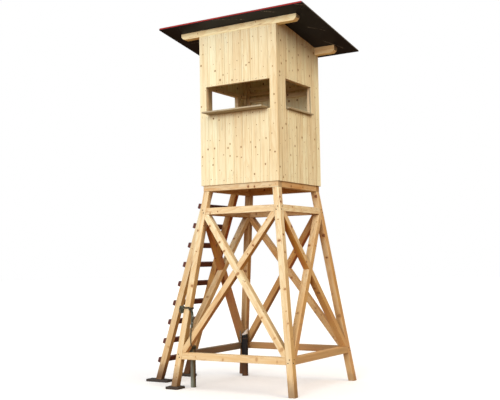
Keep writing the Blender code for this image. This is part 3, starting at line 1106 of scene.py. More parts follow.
# Batten frames behind the boards: every post and rail is its own timber. A member is given by its name,
# from and to along the wall, from and to in height, and its grain; None runs to the frame's own edge.
battens = {"seam": 0.0004, "edge": 0.0025}  # each is cut a seam short of its neighbour
frameMembers = {
    "front": [
        ("left_post", None, -0.500, None, None, "up"), ("right_post", 0.490, None, None, None, "up"),
        ("bottom_rail", -0.500, 0.490, None, 3.2, "along"), ("sill_rail", -0.500, 0.490, 3.2, 3.8, "along"),
        ("head_rail", -0.500, 0.490, 3.8, 4.35, "along"), ("top_rail", -0.500, 0.490, 4.35, None, "along"),
    ],
    "back": [
        ("left_post", None, -0.4997, None, None, "up"),
        ("right_post", 0.4997, None, None, None, "up"),
        ("bottom_rail", -0.4997, 0.4997, None, 3.2, "along"),
        ("lower_rail", -0.4997, 0.4997, 3.2, 3.8, "along"),
        ("upper_rail", -0.4997, 0.4997, 3.8, 4.25, "along"),
        ("top_rail", -0.4997, 0.4997, 4.25, None, "along"),
    ],
    "right": [
        ("front_post", None, -0.4797, None, None, "up"),
        ("back_post", 0.4797, None, None, None, "up"),
        ("bottom_rail", -0.4797, 0.4797, None, 3.2, "along"),
        ("sill_rail", -0.4797, 0.4797, 3.2, 3.6547, "along"),
        ("front_jamb", -0.4797, -0.370, 3.6547, 4.050, "up"),
        ("back_jamb", 0.350, 0.4797, 3.6547, 4.050, "up"),
        ("head_rail", -0.4797, 0.4797, 4.050, 4.35, "along"),
        ("top_rail", -0.4797, 0.4797, 4.35, None, "along"),
    ],
    "left": [
        ("front_jamb", None, -0.387, None, None, "up"),
        ("back_post", 0.4797, None, None, None, "up"),
        ("back_jamb", 0.285, 0.345, None, 4.030, "up"),
        ("bottom_rail", 0.345, 0.4797, None, 3.2, "along"),
        ("lintel", -0.387, 0.4797, 4.030, 4.30, "along"),
        ("top_rail", -0.387, 0.4797, 4.30, None, "along"),
    ],
}


def battenFrame(side, outward):
    node = f"{side}_wall_frame"
    across = acrossOf(side)
    offset = middle.dot(across)
    seam = battens["seam"]
    blank = copyNode(node, f"{node}_blank")
    parts = []
    for name, start, end, bottom, top, run in frameMembers[side]:
        part = cloneOf(blank, f"{node}_{name}")
        cuts = []
        if start is not None:
            cuts.append((across * (start + offset + seam), across, "beyond"))
        if end is not None:
            cuts.append((across * (end + offset - seam), across, "before"))
        if bottom is not None:
            cuts.append((upward * (bottom + seam), upward, "beyond"))
        if top is not None:
            cuts.append((upward * (top - seam), upward, "before"))
        slicePiece(part, cuts)
        softenEdges(part, battens["edge"], 1)
        markWood(part, "inner", upward if run == "up" else across, outward)
        parts.append(part)
    drop(blank)
    finishPiece(joinPieces(parts, f"{side}_wall_battens"), woodMaterials["inner"], [node])


for side, outward in sideNormals.items():
    battenFrame(side, outward)

backStrips = {
    "from": -0.498,
    "to": 0.498,
    "inside": 0.5798,
    "thick": 0.030,
    "edge": 0.003,
    "tone": 0.10,
    "bands": ((4.080, 4.125), (4.165, 4.210)),
}
strips = []
for bottom, top in backStrips["bands"]:
    low = inStand(backStrips["from"], backStrips["inside"] - backStrips["thick"], bottom)
    high = inStand(backStrips["to"], backStrips["inside"], top)
    strip = shapedBlock(f"shelf_strip_{len(strips)}", low, high, backStrips["edge"])
    strips.append(markWood(strip, "inner", rightward, sideNormals["front"], tone=backStrips["tone"]))
finishPiece(joinPieces(strips, "back_wall_strips"), woodMaterials["inner"], ())
print("stage: batten frames")


# Roof: a film-faced panel with raw edges, under red felt that is folded over the front
roof = {
    "film": (0.0090, 0.0130, 0.0245),
    "filmWorn": (0.0140, 0.0205, 0.0370),
    "scratch": (0.26, 0.27, 0.28),
    "plyLight": (0.120, 0.105, 0.085),
    "plyDark": (0.050, 0.042, 0.034),
    "plyLayer": 0.0028,
    "scuffCentre": (-0.55, 1.35),
    "scuffPitch": 0.31,
    "felt": (0.42, 0.036, 0.030),
    "feltDark": (0.27, 0.024, 0.020),
    "grit": 700.0,
    "slope": 0.1695,
    "edge": 0.0012,
}
felt = {
    "edge": 0.0011,
    "in": 0.014,
    "lip": 0.012,
    "lipAhead": 0.0004,
    "lap": 0.10,
    "lapBehind": 0.06,  # from the roof's middle
    "bendFrom": 0.03,  # ahead of the lap
    "bend": 0.02,
    "lapRise": 0.0038,
    "backThinner": 0.0025,
    "frontThinner": 0.0015,
    "nail": 0.005,
    "nailHeight": 0.0012,
    "nailPitch": 0.10,
    "nailIn": 0.018,
}


# Long straight scratches, and scuffs along arcs as a turned panel leaves them
def panelWear(start, place, cloud):
    x, y, z = place.parts()
    turned = start.node("ShaderNodeMapping", None, {"Vector": place, "Rotation": (0, 0, 0.7)})
    drawnX, drawnY, _ = turned.parts()
    warp = place.noise(1.7, 2.0) * 0.8
    line = start.joined(drawnX * 1.2 + warp, drawnY * 16.0 + warp * 3.0, z).noise(1.0, 3.0, 0.6)
    near = start.math("ABSOLUTE", line - 0.5)
    scratches = (1 - near.span(0.0, 0.006)) * cloud.span(0.52, 0.66) * place.noise(9.0, 2.0).span(0.45, 0.6)
    scuffX, scuffY = roof["scuffCentre"]
    sweep = start.joined(x - scuffX, y - scuffY, 0.0).length()
    arc = start.math("FRACT", (sweep + warp * 0.22) / roof["scuffPitch"]) - 0.5
    onArc = 1 - start.math("ABSOLUTE", arc).span(0.010, 0.034)
    worn = place.noise(3.1, 2.0, 0.5).span(0.46, 0.54)
    return scratches, onArc * worn * place.noise(26.0, 3.0, 0.7).span(0.40, 0.62)


def panelMaterial():
    material, start = newMaterial("film_faced_panel")
    place = start.place()
    normal = start.node("ShaderNodeNewGeometry", None, None, 1).parts()
    x, y, z = place.parts()
    cloud = place.noise(2.2, 4.0, 0.6)
    scratches, scuffs = panelWear(start, place, cloud)
    film = cloud.span(0.4, 0.75).mix(roof["film"], roof["filmWorn"])
    film = start.math("MINIMUM", scratches + scuffs, 1.0).mix(film, roof["scratch"])
    layers = start.math("FRACT", (z + y * roof["slope"]) / roof["plyLayer"]).span(0.35, 0.65)
    ply = layers.mix(roof["plyLight"], roof["plyDark"])
    ply = (place.noise(60.0, 3.0, 0.6).span(0.4, 0.7) * 0.5).mix(ply, roof["plyDark"])
    sideways = start.math("ABSOLUTE", normal[0]).span(0.55, 0.8)
    endways = start.math("ABSOLUTE", normal[1]).span(0.55, 0.8)
    colour = (endways * 0.9).mix(sideways.mix(film, ply), roof["film"])
    relief = layers * sideways * 0.5 - scratches * 0.3 + cloud * 0.1
    setSurface(material, {"Specular IOR Level": 0.12}, {
        "Base Color": colour,
        "Roughness": 0.46 + cloud * 0.16 + sideways * 0.25,
        "Normal": bumpOf(start, relief, 0.35, 0.0008),
    })
    return material


def feltMaterial():
    material, start = newMaterial("red_roofing_felt")
    place = start.place()
    grains = {"Vector": place, "Scale": roof["grit"]}
    grit = start.node("ShaderNodeTexVoronoi", None, grains, 0)
    specks = start.node("ShaderNodeTexVoronoi", None, grains, 1)
    cloud = place.noise(3.0, 5.0, 0.6)
    x, y, z = place.parts()
    runs = start.joined(x * 14.0, y * 0.8, z).noise(1.0, 3.0)
    colour = cloud.span(0.35, 0.7).mix(roof["felt"], roof["feltDark"])
    colour = (runs.span(0.5, 0.75) * 0.35).mix(colour, roof["feltDark"])
    setSurface(material, {"Specular IOR Level": 0.2}, {
        "Base Color": colour.blended(specks, "OVERLAY", 0.25),
        "Roughness": 0.82 + cloud * 0.12,
        "Normal": bumpOf(start, grit * -1.0 + cloud * 0.6, 0.5, 0.0008),
    })
    return material


panel = copyNode("roof_panel", "roof_panel_sheet")
softenEdges(panel, roof["edge"], 2)
finishPiece(panel, panelMaterial(), ["roof_panel"])

# The felt: a back sheet, a front sheet that laps over it, and a lip folded over the front edge
coverLow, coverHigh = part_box("roof_covering")
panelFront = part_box("roof_panel")[0].y
lapAt = (coverLow.y + coverHigh.y) / 2 + felt["lapBehind"]
lapStart = lapAt - felt["lap"] - felt["bendFrom"]
roofNormal = Vector((0, roof["slope"], 1)).normalized()


# How high the slope through a point is where y is 0
def heightOnRoof(point):
    return point.z + roof["slope"] * point.y


back = copyNode("roof_covering", "felt_back")
slicePiece(back, [(backward * (lapAt - felt["lap"]), backward, "beyond")])
front = copyNode("roof_covering", "felt_front")
slicePiece(front, [(backward * lapAt, backward, "before")])
slicePiece(front, [(backward * (lapStart + ahead), backward, None) for ahead in (0, felt["bend"])])
lip = copyNode("roof_covering", "felt_lip")
slicePiece(lip, [(backward * (panelFront - felt["lipAhead"]), backward, "before")])
feltBottom = min(heightOnRoof(point.co) for point in back.data.vertices)
feltMiddle = feltBottom + 0.004  # between its underside and its top
moveSome(back, lambda co: heightOnRoof(co) > feltMiddle, (0, 0, -felt["backThinner"]))
moveSome(front, lambda co: co.y > lapStart + felt["bend"] / 2, (0, 0, felt["lapRise"]))
moveSome(front, lambda co: heightOnRoof(co) > feltMiddle, (0, 0, -felt["frontThinner"]))
moveSome(lip, lambda co: heightOnRoof(co) < feltBottom + 0.003, (0, 0, -felt["lip"]))
feltTops = {  # the top of each stretch of the felt, as its height where y is 0
    "front": max(heightOnRoof(point.co) for point in front.data.vertices if point.co.y < lapStart + 0.005),
    "lap": max(heightOnRoof(point.co) for point in front.data.vertices),
    "back": max(heightOnRoof(point.co) for point in back.data.vertices),
}
for sheet in (back, front, lip):
    moveSome(sheet, lambda co: co.x < coverLow.x + 0.001, (felt["in"], 0, 0))
    moveSome(sheet, lambda co: co.x > coverHigh.x - 0.001, (-felt["in"], 0, 0))
    softenEdges(sheet, felt["edge"], 2)
finishPiece(joinPieces([front, back, lip], "roof_felt"), feltMaterial(), ["roof_covering"])
print("stage: roof")


# Pads and stakes
padLook = {
    "edge": 0.004,
    "steps": (0.022, 0.022, 0.012),
    "push": 0.006,
    "scale": 24.0,
    "fineScale": 3.1,
    "fineShare": 0.4,
    "underside": 0.003,
    "grain": Vector((1, 0.1, 0)),
}
noise.seed_set(5)  # noise_vector gives other pads in every run without it


# Cuts a slab into small faces and pushes its points about, but for those of its underside
def roughen(piece):
    points = [point.co for point in piece.data.vertices]
    cuts = []
    for normal, step in zip((rightward, backward, upward), padLook["steps"]):
        low = min(co.dot(normal) for co in points)
        high = max(co.dot(normal) for co in points)
        count = int((high - low) / step)
        for number in range(1, count + 1):
            cuts.append((normal * (low + (high - low) * number / (count + 1)), normal, None))
    slicePiece(piece, cuts)
    for point in piece.data.vertices:
        if point.co.z >= padLook["underside"]:
            spot = point.co * padLook["scale"]
            fine = noise.noise_vector(spot * padLook["fineScale"]) * padLook["fineShare"]
            point.co += (noise.noise_vector(spot) + fine) * padLook["push"]


for node in ("leg_pad", "front_ladder_pad", "rear_ladder_pad"):
    pad = copyNode(node, f"{node}_slab")
    softenEdges(pad, padLook["edge"], 1)
    roughen(pad)
    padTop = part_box(node)[1].z + 0.0002
    for point in pad.data.vertices:
        point.co.z = max(0.0, min(point.co.z, padTop))
    markWood(pad, "pad", padLook["grain"], upward, [])
    finishPiece(pad, woodMaterials["pad"], [node])

stakeLook = {
    "rim": 0.007,
    "level": 0.03,
    "smoothSide": 0.022,  # the stretch at its left stays as it is, for what lies against it
    "pare": 0.0012,
    "ripple": 0.0028,
}
tornTop = {"from": 0.56, "drop": 0.058, "radius": 0.046, "high": Vector((0.844, 0.536, 0))}
tar = {"from": 0.26, "fade": 0.08, "ragged": 0.10, "strength": 2.4, "dirt": 0.3}


# Runs from -1 on the low side of the torn top to 1 on its high side
def slantAt(point, centre, radius):
    return (point - centre).dot(tornTop["high"]) / radius


def pareStake(stake, low, centre):
    for point in stake.data.vertices:
        out = Vector((point.co.x - centre.x, point.co.y - centre.y, 0))
        free = point.co.x > low.x + stakeLook["smoothSide"]
        if point.co.z > 0.002 and out.length > 0.01 and free:
            ripple = noise.noise(Vector((point.co.x * 30, point.co.y * 30, point.co.z * 6)))
            point.co -= out.normalized() * (stakeLook["pare"] + abs(ripple) * stakeLook["ripple"])


# The black stake is torn off at a slant, and tarred from the rail upwards with a ragged lower edge
def tearAndTar(stake, top, centre):
    for point in stake.data.vertices:
        share = max(0.0, (point.co.z - tornTop["from"]) / (top - tornTop["from"]))
        point.co.z -= share * tornTop["drop"] * (1 - slantAt(point.co, centre, tornTop["radius"])) / 2
    for point, tone in zip(stake.data.vertices, stake.data.attributes["tone"].data):
        ragged = noise.noise(point.co * 14.0) * tar["ragged"]
        share = (point.co.z + ragged - tar["from"]) / tar["fade"]
        tone.vector = (tone.vector[0], min(1.0, max(0.0, share)) * tar["strength"], tar["dirt"])


def dressStake(node, kind):
    stake = copyNode(node, f"{node}_pole")
    low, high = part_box(node)
    openPiece(stake)
    selectEdges(stake, lambda edge: all(point.co.z > high.z - 0.001 for point in edge.verts))
    bpy.ops.mesh.bevel(offset=stakeLook["rim"], offset_type="OFFSET", segments=3, affect="EDGES",
                       clamp_overlap=True)
    closePiece()
    count = int((high.z - low.z) / stakeLook["level"])
    levels = [low.z + stakeLook["level"] * step for step in range(1, count)]
    slicePiece(stake, [(upward * level, upward, None) for level in levels])
    centre = (low + high) / 2
    pareStake(stake, low, centre)
    markWood(stake, kind, upward, sideNormals["front"], [])
    if kind == "blackStake":
        tearAndTar(stake, high.z, centre)
    finishPiece(stake, woodMaterials[kind], [node])


dressStake("front_stake", "stake")
dressStake("back_stake", "blackStake")
print("stage: pads and stakes")


# Fastenings
metals = {
    "zinc": {"colour": (0.58, 0.50, 0.33), "worn": (0.36, 0.30, 0.19), "metal": 0.75, "rough": 0.42},
    "iron": {"colour": (0.060, 0.055, 0.050), "worn": (0.13, 0.060, 0.030), "metal": 0.55, "rough": 0.62},
    "galvanised": {"colour": (0.23, 0.24, 0.23), "worn": (0.11, 0.10, 0.085), "metal": 0.7, "rough": 0.5},
}


def metalMaterial(kind):
    look = metals[kind]
    material, start = newMaterial(f"{kind}_metal")
    place = start.place()
    cloud = place.noise(90.0, 4.0, 0.6)
    grain = place.noise(700.0, 2.0)
    setSurface(material, {}, {
        "Base Color": cloud.span(0.42, 0.62).mix(look["colour"], look["worn"]),
        "Metallic": look["metal"] - cloud.span(0.45, 0.65) * look["metal"] * 0.7,
        "Roughness": look["rough"] + cloud * 0.3,
        "Normal": bumpOf(start, grain + cloud, 0.3, 0.0003),
    })
    return material


metalMaterials = {kind: metalMaterial(kind) for kind in metals}
headShapes = {  # insets of a head's top: inwards as a share of its radius, and up as a share of its height
    "screw": ((0.22, 0.35), (0.38, 0), (0.03, -0.7)),
    "nail": ((0.3, 0.5), (0.3, 0.15)),
}


# A head standing on z = 0
def roundHead(name, shape, radius, height):
    bpy.ops.mesh.primitive_cylinder_add(vertices=12, radius=radius, depth=height,
                                        location=(0, 0, height / 2))
    head = bpy.context.object
    head.name = name
    applyPlace(head)
    openPiece(head)
    selectFaces(head, lambda face: face.normal.z > 0.9)
    for inward, up in headShapes[shape]:
        bpy.ops.mesh.inset(thickness=radius * inward, depth=height * up)
    closePiece()
    return head


def placeCopies(master, spots, name):
    parts = []
    for number, (place, normal) in enumerate(spots):
        turn = Vector(normal).to_track_quat("Z", "Y").to_matrix().to_4x4()
        copy = cloneOf(master, f"{name}_{number}")
        copy.data.transform(Matrix.Translation(place) @ turn)
        parts.append(copy)
    drop(master)
    return joinPieces(parts, name)


# Clout nails hold the felt along its edges and its lap
def feltNailSpots():
    spots = []
    inset = felt["nailIn"]
    left, right = coverLow.x + inset, coverHigh.x - inset
    ahead, behind = coverLow.y + inset, coverHigh.y - inset
    rows = [((left, y), (right, y)) for y in (ahead, lapAt - inset, behind)]
    rows += [((x, ahead), (x, behind)) for x in (left, right)]
    for (x1, y1), (x2, y2) in rows:
        count = round(math.hypot(x2 - x1, y2 - y1) / felt["nailPitch"])
        for number in range(1, count):
            x = x1 + (x2 - x1) * number / count
            y = y1 + (y2 - y1) * number / count
            if -0.01 < y - lapStart < 0.03 or -0.01 < y - lapAt < 0.01:
                continue  # on the bend or on the edge of the lap
            stretch = "front" if y < lapStart else "lap" if y < lapAt else "back"
            spots.append((Vector((x, y, feltTops[stretch] - roof["slope"] * y)), roofNormal))
    return spots


nail = roundHead("clout_nail", "nail", felt["nail"], felt["nailHeight"])
finishPiece(placeCopies(nail, feltNailSpots(), "felt_nails"), metalMaterials["galvanised"])

# Screws hold every board to the battens behind it
boardScrews = {
    "radius": 0.0038,
    "height": 0.0014,
    "from": 0.034,
    "rows": {
        "front": (2.767, 3.616, 4.060, 4.705),
        "back": (2.767, 3.616, 4.017, 4.503),
        "right": (2.767, 3.625, 4.080, "slope"),
        "left": (2.767, 4.055, "slope"),
    },
    "slopeTop": 4.690,  # of the rows that follow the roof, in the stand's middle
    "opening": (-0.425, 0.325, 3.9),  # of the left wall: no row below this height is between these places
    "beside": (-0.39, 3.30),  # ahead of this place the left wall's middle row is lower
}


def wallScrewSpots():
    spots = []
    openFrom, openTo, openTop = boardScrews["opening"]
    ahead, lowered = boardScrews["beside"]
    for side, outward in sideNormals.items():
        low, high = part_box(f"{side}_wall")
        across = acrossOf(side)
        joints = wallJoints(side)
        face = outward * max(low.dot(outward), high.dot(outward))
        for start, end in zip(joints, joints[1:]):
            for at in (start + boardScrews["from"], end - boardScrews["from"]):
                local = at - middle.dot(across)
                for row in boardScrews["rows"][side]:
                    z = boardScrews["slopeTop"] - roof["slope"] * local if row == "slope" else row
                    if side == "left" and z < openTop and openFrom < local < openTo:
                        continue
                    if side == "left" and openTop < z < openTop + 0.3 and local < ahead:
                        z = lowered
                    spots.append((face + across * at + upward * z, outward))
    return spots


screw = roundHead("board_screw", "screw", boardScrews["radius"], boardScrews["height"])
finishPiece(placeCopies(screw, wallScrewSpots(), "wall_screws"), metalMaterials["zinc"])

legs = {"foot": (0.931, 0.906), "top": (0.580, 0.580), "height": 2.617, "half": 0.045}
railScrews = {"radius": 0.0075, "height": 0.0035, "heights": (0.433, 2.346), "apart": 0.040, "stagger": 0.012}


def legOut(height):
    share = height / legs["height"]
    return [foot + (top - foot) * share for foot, top in zip(legs["foot"], legs["top"])]


# Washer-head screws go through each leg into the ends of its rails
def legScrewSpots():
    spots = []
    leanX, leanY = [(foot - top) / legs["height"] for foot, top in zip(legs["foot"], legs["top"])]
    pairs = [(level, way) for level in railScrews["heights"] for way in (-1, 1)]
    for towardX in (-1, 1):
        for towardY in (-1, 1):
            for level, way in pairs:
                z = level + way * railScrews["apart"] / 2
                outX, outY = legOut(z)
                aside = railScrews["stagger"] * way
                spots.append((inStand((outX - legs["half"] + aside) * towardX, outY * towardY, z),
                              (0, towardY, leanY)))
                spots.append((inStand(outX * towardX, (outY - legs["half"] - aside) * towardY, z),
                              (towardX, 0, leanX)))
    return spots


screw = roundHead("leg_screw", "screw", railScrews["radius"], railScrews["height"])
finishPiece(placeCopies(screw, legScrewSpots(), "leg_screws"), metalMaterials["iron"])

ladder = {
    "slope": 0.338,
    "stringers": (-0.380, 0.285),
    "screw": 0.0055,
    "screwHeight": 0.0025,
    "shifts": (-0.016, 0.016),  # up and down from the rung's middle
    "stagger": 0.6,  # the same to the side, as a share of it
}


def rungScrewSpots():
    spots = []
    outward = Vector((-1, 0, ladder["slope"])).normalized()
    along = Vector((ladder["slope"], 0, 1)).normalized()
    for number in range(1, rungCount + 1):
        corners = [point.co for point in cadNodes[f"rung_{number}"].data.vertices]
        reach = max(corner.dot(outward) for corner in corners)
        outer = [corner for corner in corners if corner.dot(outward) > reach - 0.001]
        centre = sum(outer, Vector()) / len(outer)
        for y in ladder["stringers"]:
            for shift in ladder["shifts"]:
                place = Vector((centre.x, middle.y + y + shift * ladder["stagger"], centre.z))
                spots.append((place + along * shift, outward))
    return spots


screw = roundHead("rung_screw", "screw", ladder["screw"], ladder["screwHeight"])
finishPiece(placeCopies(screw, rungScrewSpots(), "rung_screws"), metalMaterials["iron"])
print("stage: screws")


# Half door: ledges inside, strap hinges outside and a turn button
doorParts = {
    "ledge": {"low": (-0.5998, -0.355, 0.0), "high": (-0.5720, 0.255, 0.090), "heights": (2.86, 3.50)},
    "button": {"place": (-0.6500, -0.428, 3.42), "size": (0.018, 0.105, 0.034)},
    "spacer": {"place": (-0.6205, -0.462, 3.42), "size": (0.040, 0.034, 0.040)},
    "buttonScrew": (-0.6590, -0.462, 3.42),
}
hinge = {
    "heights": (2.905, 3.545),
    "doorFace": -0.6203,
    "frameFace": -0.6003,
    "start": 0.318,
    "length": 0.30,
    "height": 0.036,
    "thick": 0.0035,
    "tip": (0.01, 0.45),  # how long the narrower end is, and what share of its height is left
    "leaf": (0.012, 0.052, 0.045),  # from and to behind the start, and half its height
    "knuckle": 0.0075,
    "strapScrews": (0.035, 0.115, 0.195, 0.265),
    "leafScrews": (-0.028, 0.028),
    "screw": 0.005,
    "screwHeight": 0.002,
}

ledges = []
for number, height in enumerate(doorParts["ledge"]["heights"]):
    low = inStand(*doorParts["ledge"]["low"]) + upward * height
    high = inStand(*doorParts["ledge"]["high"]) + upward * height
    ledge = shapedBlock(f"door_ledge_{number}", low, high, 0.005)
    ledges.append(markWood(ledge, "boards", backward, sideNormals["left"]))
for name in ("button", "spacer"):
    place, size = Vector(doorParts[name]["place"]), Vector(doorParts[name]["size"])
    block = shapedBlock(f"door_{name}", inStand(*(place - size / 2)), inStand(*(place + size / 2)), 0.004)
    ledges.append(markWood(block, "boards", backward, sideNormals["left"], []))
finishPiece(joinPieces(ledges, "half_door_ledges"), woodMaterials["boards"], ())


def strapHinge(number, height):
    start, half = hinge["start"], hinge["height"] / 2
    tipLength, tipShare = hinge["tip"]
    tip = middle.y + start - hinge["length"] + tipLength
    strapFace = hinge["doorFace"] - hinge["thick"]
    leafFace = hinge["frameFace"] - hinge["thick"]
    leafFrom, leafTo, leafHalf = hinge["leaf"]

    def narrow(co):
        if co.y < tip:
            co.z = height + (co.z - height) * tipShare

    strap = shapedBlock(f"strap_{number}", inStand(strapFace, start - hinge["length"], height - half),
                        inStand(hinge["doorFace"], start, height + half), 0.001, 1, narrow)
    leaf = shapedBlock(f"hinge_leaf_{number}", inStand(leafFace, start + leafFrom, height - leafHalf),
                       inStand(hinge["frameFace"], start + leafTo, height + leafHalf), 0.001, 1)
    bpy.ops.mesh.primitive_cylinder_add(vertices=16, radius=hinge["knuckle"], depth=hinge["height"] + 0.012,
                                        location=inStand(hinge["doorFace"] + 0.004, start + 0.009, height))
    knuckle = applyPlace(bpy.context.object)
    softenEdges(knuckle, 0.001, 1, 1.0)
    spots = [inStand(strapFace, start - along, height) for along in hinge["strapScrews"]]
    spots += [inStand(leafFace, start + 0.034, height + shift) for shift in hinge["leafScrews"]]
    return [strap, leaf, knuckle], spots


hinges = []
screwPlaces = []
for number, height in enumerate(hinge["heights"]):
    made, spots = strapHinge(number, height)
    hinges += made
    screwPlaces += spots
screwPlaces.append(inStand(*doorParts["buttonScrew"]))
screw = roundHead("hinge_screw", "screw", hinge["screw"], hinge["screwHeight"])
hinges.append(placeCopies(screw, [(place, sideNormals["left"]) for place in screwPlaces], "hinge_screws"))
finishPiece(joinPieces(hinges, "half_door_hinges"), metalMaterials["iron"])
print("stage: half door fittings")


# Lashings at the two stakes
def smoothPath(*points, steps=6):
    points = [inStand(*point) for point in points]
    padded = [points[0] * 2 - points[1], *points, points[-1] * 2 - points[-2]]
    path = []
    for a, b, c, d in zip(padded, padded[1:], padded[2:], padded[3:]):
        for step in range(steps):
            t = step / steps
            path.append(0.5 * (2 * b + (c - a) * t + (2 * a - 5 * b + 4 * c - d) * t * t
                               + (3 * b - a - 3 * c + d) * t * t * t))
    return path + [points[-1]]


# A helix round an upright middle, rising by one pitch a turn
def coil(centre, radius, pitch, turns, start=0.0, aTurn=16):
    path = []
    for step in range(round(turns * aTurn) + 1):
        turn = 2 * math.pi * step / aTurn + start
        path.append(inStand(centre[0] + radius * math.cos(turn), centre[1] + radius * math.sin(turn),
                            centre[2] + pitch * step / aTurn))
    return path


def tube(name, path, radius, endRadius=None, closed=False):
    curve = bpy.data.curves.new(name, "CURVE")
    curve.dimensions = "3D"
    curve.bevel_depth = radius
    curve.bevel_resolution = 2
    curve.use_fill_caps = True
    spline = curve.splines.new("POLY")
    last = len(path) - 1
    spline.points.add(last)
    for index, (point, place) in enumerate(zip(spline.points, path)):
        point.co = (*place, 1)
        point.radius = 1 + ((endRadius or radius) / radius - 1) * index / last
    spline.use_cyclic_u = closed
    pickPiece(newPiece(name, curve))
    bpy.ops.object.convert(target="MESH")
    made = bpy.context.view_layer.objects.active
    openPiece(made)
    bpy.ops.mesh.remove_doubles(threshold=mergeWithin)  # joins the end caps to the wall
    bpy.ops.mesh.normals_make_consistent(inside=False)
    closePiece()
    return made


def ropeMaterial(name, colour, dark):
    material, start = newMaterial(name)
    place = start.place()
    x, y, z = place.parts()
    twist = start.math("SINE", (x + y + z * 1.6) * 620.0) * 0.5 + 0.5
    fuzz = place.noise(420.0, 3.0, 0.6)
    stain = place.noise(28.0, 3.0, 0.6)
    mixed = stain.span(0.4, 0.65).mix(colour, dark)
    setSurface(material, {"Specular IOR Level": 0.2}, {
        # Painted shade: the rope is darker along the grooves between its twisted strands
        "Base Color": ((1 - twist) * 0.5).mix(mixed, dark),
        "Roughness": 0.82 + fuzz * 0.15,
        "Normal": bumpOf(start, twist + fuzz * 0.6, 0.6, 0.0012),
    })
    return material


greenRope = ropeMaterial("grey_green_rope", (0.120, 0.128, 0.092), (0.038, 0.041, 0.031))
darkRope = ropeMaterial("dark_tarred_rope", (0.105, 0.088, 0.050), (0.022, 0.015, 0.009))

legWrap = {
    "height": 1.046,
    "rope": 0.0058,
    "turns": 2,
    "start": -0.8,
    "pitch": 0.0125,
    "squareness": 9,  # the rope rounds the square leg's corners
    "knot": 0.0062,
    "knotPlace": Vector((0.050, -0.050, 0.006)),
}


def squareCoil(centre):
    path = []
    half = legs["half"] + legWrap["rope"]
    power = legWrap["squareness"]
    for step in range(legWrap["turns"] * 40 + 1):
        turn = 2 * math.pi * step / 40 + legWrap["start"]
        reach = half / (abs(math.cos(turn)) ** power + abs(math.sin(turn)) ** power) ** (1 / power)
        rise = legWrap["pitch"] * step / 40
        path.append(centre + Vector((reach * math.cos(turn), reach * math.sin(turn), rise)))
    return path


def overhandKnot(centre, size):
    path = []
    for step in range(48):
        turn = 2 * math.pi * step / 48
        x = math.sin(turn) + 1.6 * math.sin(2 * turn)
        z = math.cos(turn) - 1.6 * math.cos(2 * turn)
        path.append(centre + size * Vector((x, -math.sin(3 * turn), z)))
    return path


wrapX, wrapY = [out - legs["half"] for out in legOut(legWrap["height"])]
wrapCentre = inStand(-wrapX, -wrapY, legWrap["height"])
tied = [
    tube("leg_wrap", squareCoil(wrapCentre), legWrap["rope"]),
    tube("leg_knot", overhandKnot(wrapCentre + legWrap["knotPlace"], legWrap["knot"]), legWrap["knot"],
         closed=True),
]
finishPiece(joinPieces(tied, "front_left_leg_lashing"), darkRope)

hank = {
    "centre": (-0.815, -0.785, 1.040),
    "tall": 0.046,
    "wide": 0.023,
    "rope": 0.0055,
    "turns": 9,
    "thick": 0.0060,  # from loop to loop
    "wave": 0.004,
    "spread": (0.66, 0.38, 2.4),  # loops differ in size by a slow wave: middle, swing and rate
    "binding": 0.028,
    "bindingUp": 0.016,
}
frontStake = {"wrap": (-0.743, -0.645, 0.515), "reach": 0.0415, "pitch": 0.010, "start": -0.9}
frontRopes = {"strand": (0.0085, 0.0046), "bight": 0.0075, "wrap": 0.0042}


def hankLoops():
    x, y, z = hank["centre"]
    middleSize, swing, rate = hank["spread"]
    path = []
    for step in range(hank["turns"] * 20 + 1):
        number = step / 20
        turn = 2 * math.pi * number
        size = middleSize + swing * math.sin(number * rate)
        path.append(inStand(
            x + hank["wide"] * size * math.cos(turn),
            y + hank["thick"] * (number - hank["turns"] / 2) + hank["wave"] * math.sin(turn * 1.5),
            z + hank["tall"] * size * math.sin(turn),
        ))
    return path


x, y, z = hank["centre"]
binding = coil((x, y, z + hank["bindingUp"]), hank["binding"], 0.008, 4, aTurn=15)
strand = smoothPath(
    (-0.690, -0.760, 1.050), (-0.672, -0.764, 0.990), (-0.660, -0.788, 0.880), (-0.650, -0.815, 0.760),
    (-0.641, -0.845, 0.680), (-0.636, -0.850, 0.612), (-0.640, -0.822, 0.566), (-0.664, -0.752, 0.538),
    (-0.698, -0.692, 0.528))
bight = smoothPath(  # the doubled rope below the clamp
    (-0.685, -0.748, 1.048), (-0.662, -0.752, 0.985), (-0.652, -0.766, 0.900), (-0.652, -0.780, 0.825),
    (-0.660, -0.788, 0.800), (-0.670, -0.784, 0.822), (-0.676, -0.770, 0.900), (-0.684, -0.754, 0.985),
    (-0.692, -0.750, 1.046))
headWrap = coil(frontStake["wrap"], frontStake["reach"], frontStake["pitch"], 3, frontStake["start"])
ropes = [
    tube("hank_loops", hankLoops(), hank["rope"]),
    tube("hank_binding", binding, hank["rope"]),
    tube("hanging_strand", strand, *frontRopes["strand"]),
    tube("hanging_bight", bight, frontRopes["bight"]),
    tube("stake_wrap", headWrap, frontRopes["wrap"]),
]
finishPiece(joinPieces(ropes, "front_stake_lashing"), greenRope)

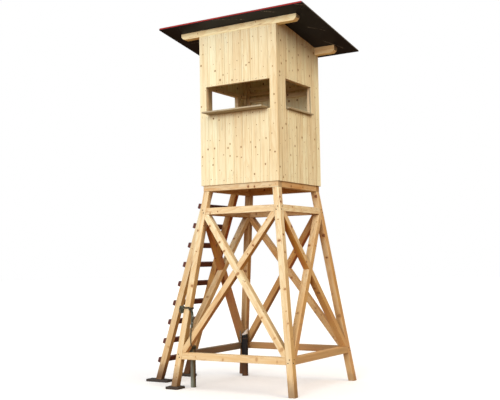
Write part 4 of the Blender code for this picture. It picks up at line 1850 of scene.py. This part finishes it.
pin = {"radius": 0.0080, "rope": 0.0052, "wrap": (-0.768, 0.585, 0.792), "reach": 0.0125, "pitch": 0.0098}
wire = {"radius": 0.0022, "wrap": (-0.734, 0.665, 0.535), "reach": 0.0480, "pitch": 0.006, "start": 2.0}
pinPath = smoothPath(
    (-0.756, 0.588, 0.485), (-0.760, 0.586, 0.640), (-0.766, 0.584, 0.800), (-0.770, 0.586, 0.832),
    (-0.782, 0.592, 0.846), (-0.794, 0.598, 0.832), (-0.796, 0.600, 0.806))
wireTurns = coil(wire["wrap"], wire["reach"], wire["pitch"], 3, wire["start"])
tie = smoothPath(
    (-0.752, 0.573, 0.560), (-0.741, 0.590, 0.552), (-0.752, 0.612, 0.545), (-0.770, 0.632, 0.540))
finishPiece(tube("back_stake_pin", pinPath, pin["radius"]), metalMaterials["galvanised"])
ironTies = [tube("stake_wire", wireTurns, wire["radius"]), tube("wire_tie", tie, wire["radius"])]
finishPiece(joinPieces(ironTies, "back_stake_wire"), metalMaterials["iron"])
finishPiece(tube("pin_lashing", coil(pin["wrap"], pin["reach"], pin["pitch"], 4.5), pin["rope"]), greenRope)

crown = {
    "centre": (-0.734, 0.665),
    "radius": 0.0475,
    "low": 0.603,
    "lowRise": 0.012,
    "lowFray": 0.006,
    "high": 0.637,
    "highRise": 0.038,
    "highFray": 0.007,
    "thick": 0.004,
    "pale": (0.82, 0.80, 0.77),
    "dark": (0.48, 0.45, 0.41),
}


# The rim of torn pale fibres round the head of the black stake
def tornCrown():
    halfway = (crown["low"] + crown["high"]) / 2
    bpy.ops.mesh.primitive_cylinder_add(vertices=36, radius=crown["radius"], end_fill_type="NOTHING",
                                        depth=crown["high"] - crown["low"],
                                        location=inStand(*crown["centre"], halfway))
    rim = bpy.context.object
    rim.name = "stake_crown"
    applyPlace(rim)
    dice = random.Random("crown")
    for point in rim.data.vertices:
        slant = slantAt(point.co, inStand(*crown["centre"], 0), crown["radius"])
        if point.co.z > halfway:
            fray = dice.uniform(-crown["highFray"], crown["highFray"])
            point.co.z = crown["high"] + crown["highRise"] * slant + fray
        else:
            point.co.z = crown["low"] + crown["lowRise"] * slant - dice.uniform(0.0, crown["lowFray"])
    pickPiece(rim)
    shell = rim.modifiers.new("thickness", "SOLIDIFY")
    shell.thickness = crown["thick"]
    shell.offset = -1.0
    bpy.ops.object.modifier_apply(modifier="thickness")
    return rim


def tornFibre():
    material, start = newMaterial("torn_pale_fibre")
    x, y, z = start.place().parts()
    fibres = start.joined(x * 260.0, y * 260.0, z * 30.0).noise(1.0, 3.0, 0.6)
    setSurface(material, {"Specular IOR Level": 0.2}, {
        "Base Color": fibres.span(0.3, 0.7).mix(crown["pale"], crown["dark"]),
        "Roughness": 0.8 + fibres * 0.15,
        "Normal": bumpOf(start, fibres, 0.8, 0.0015),
    })
    return material


finishPiece(tornCrown(), tornFibre())
print("stage: lashings")
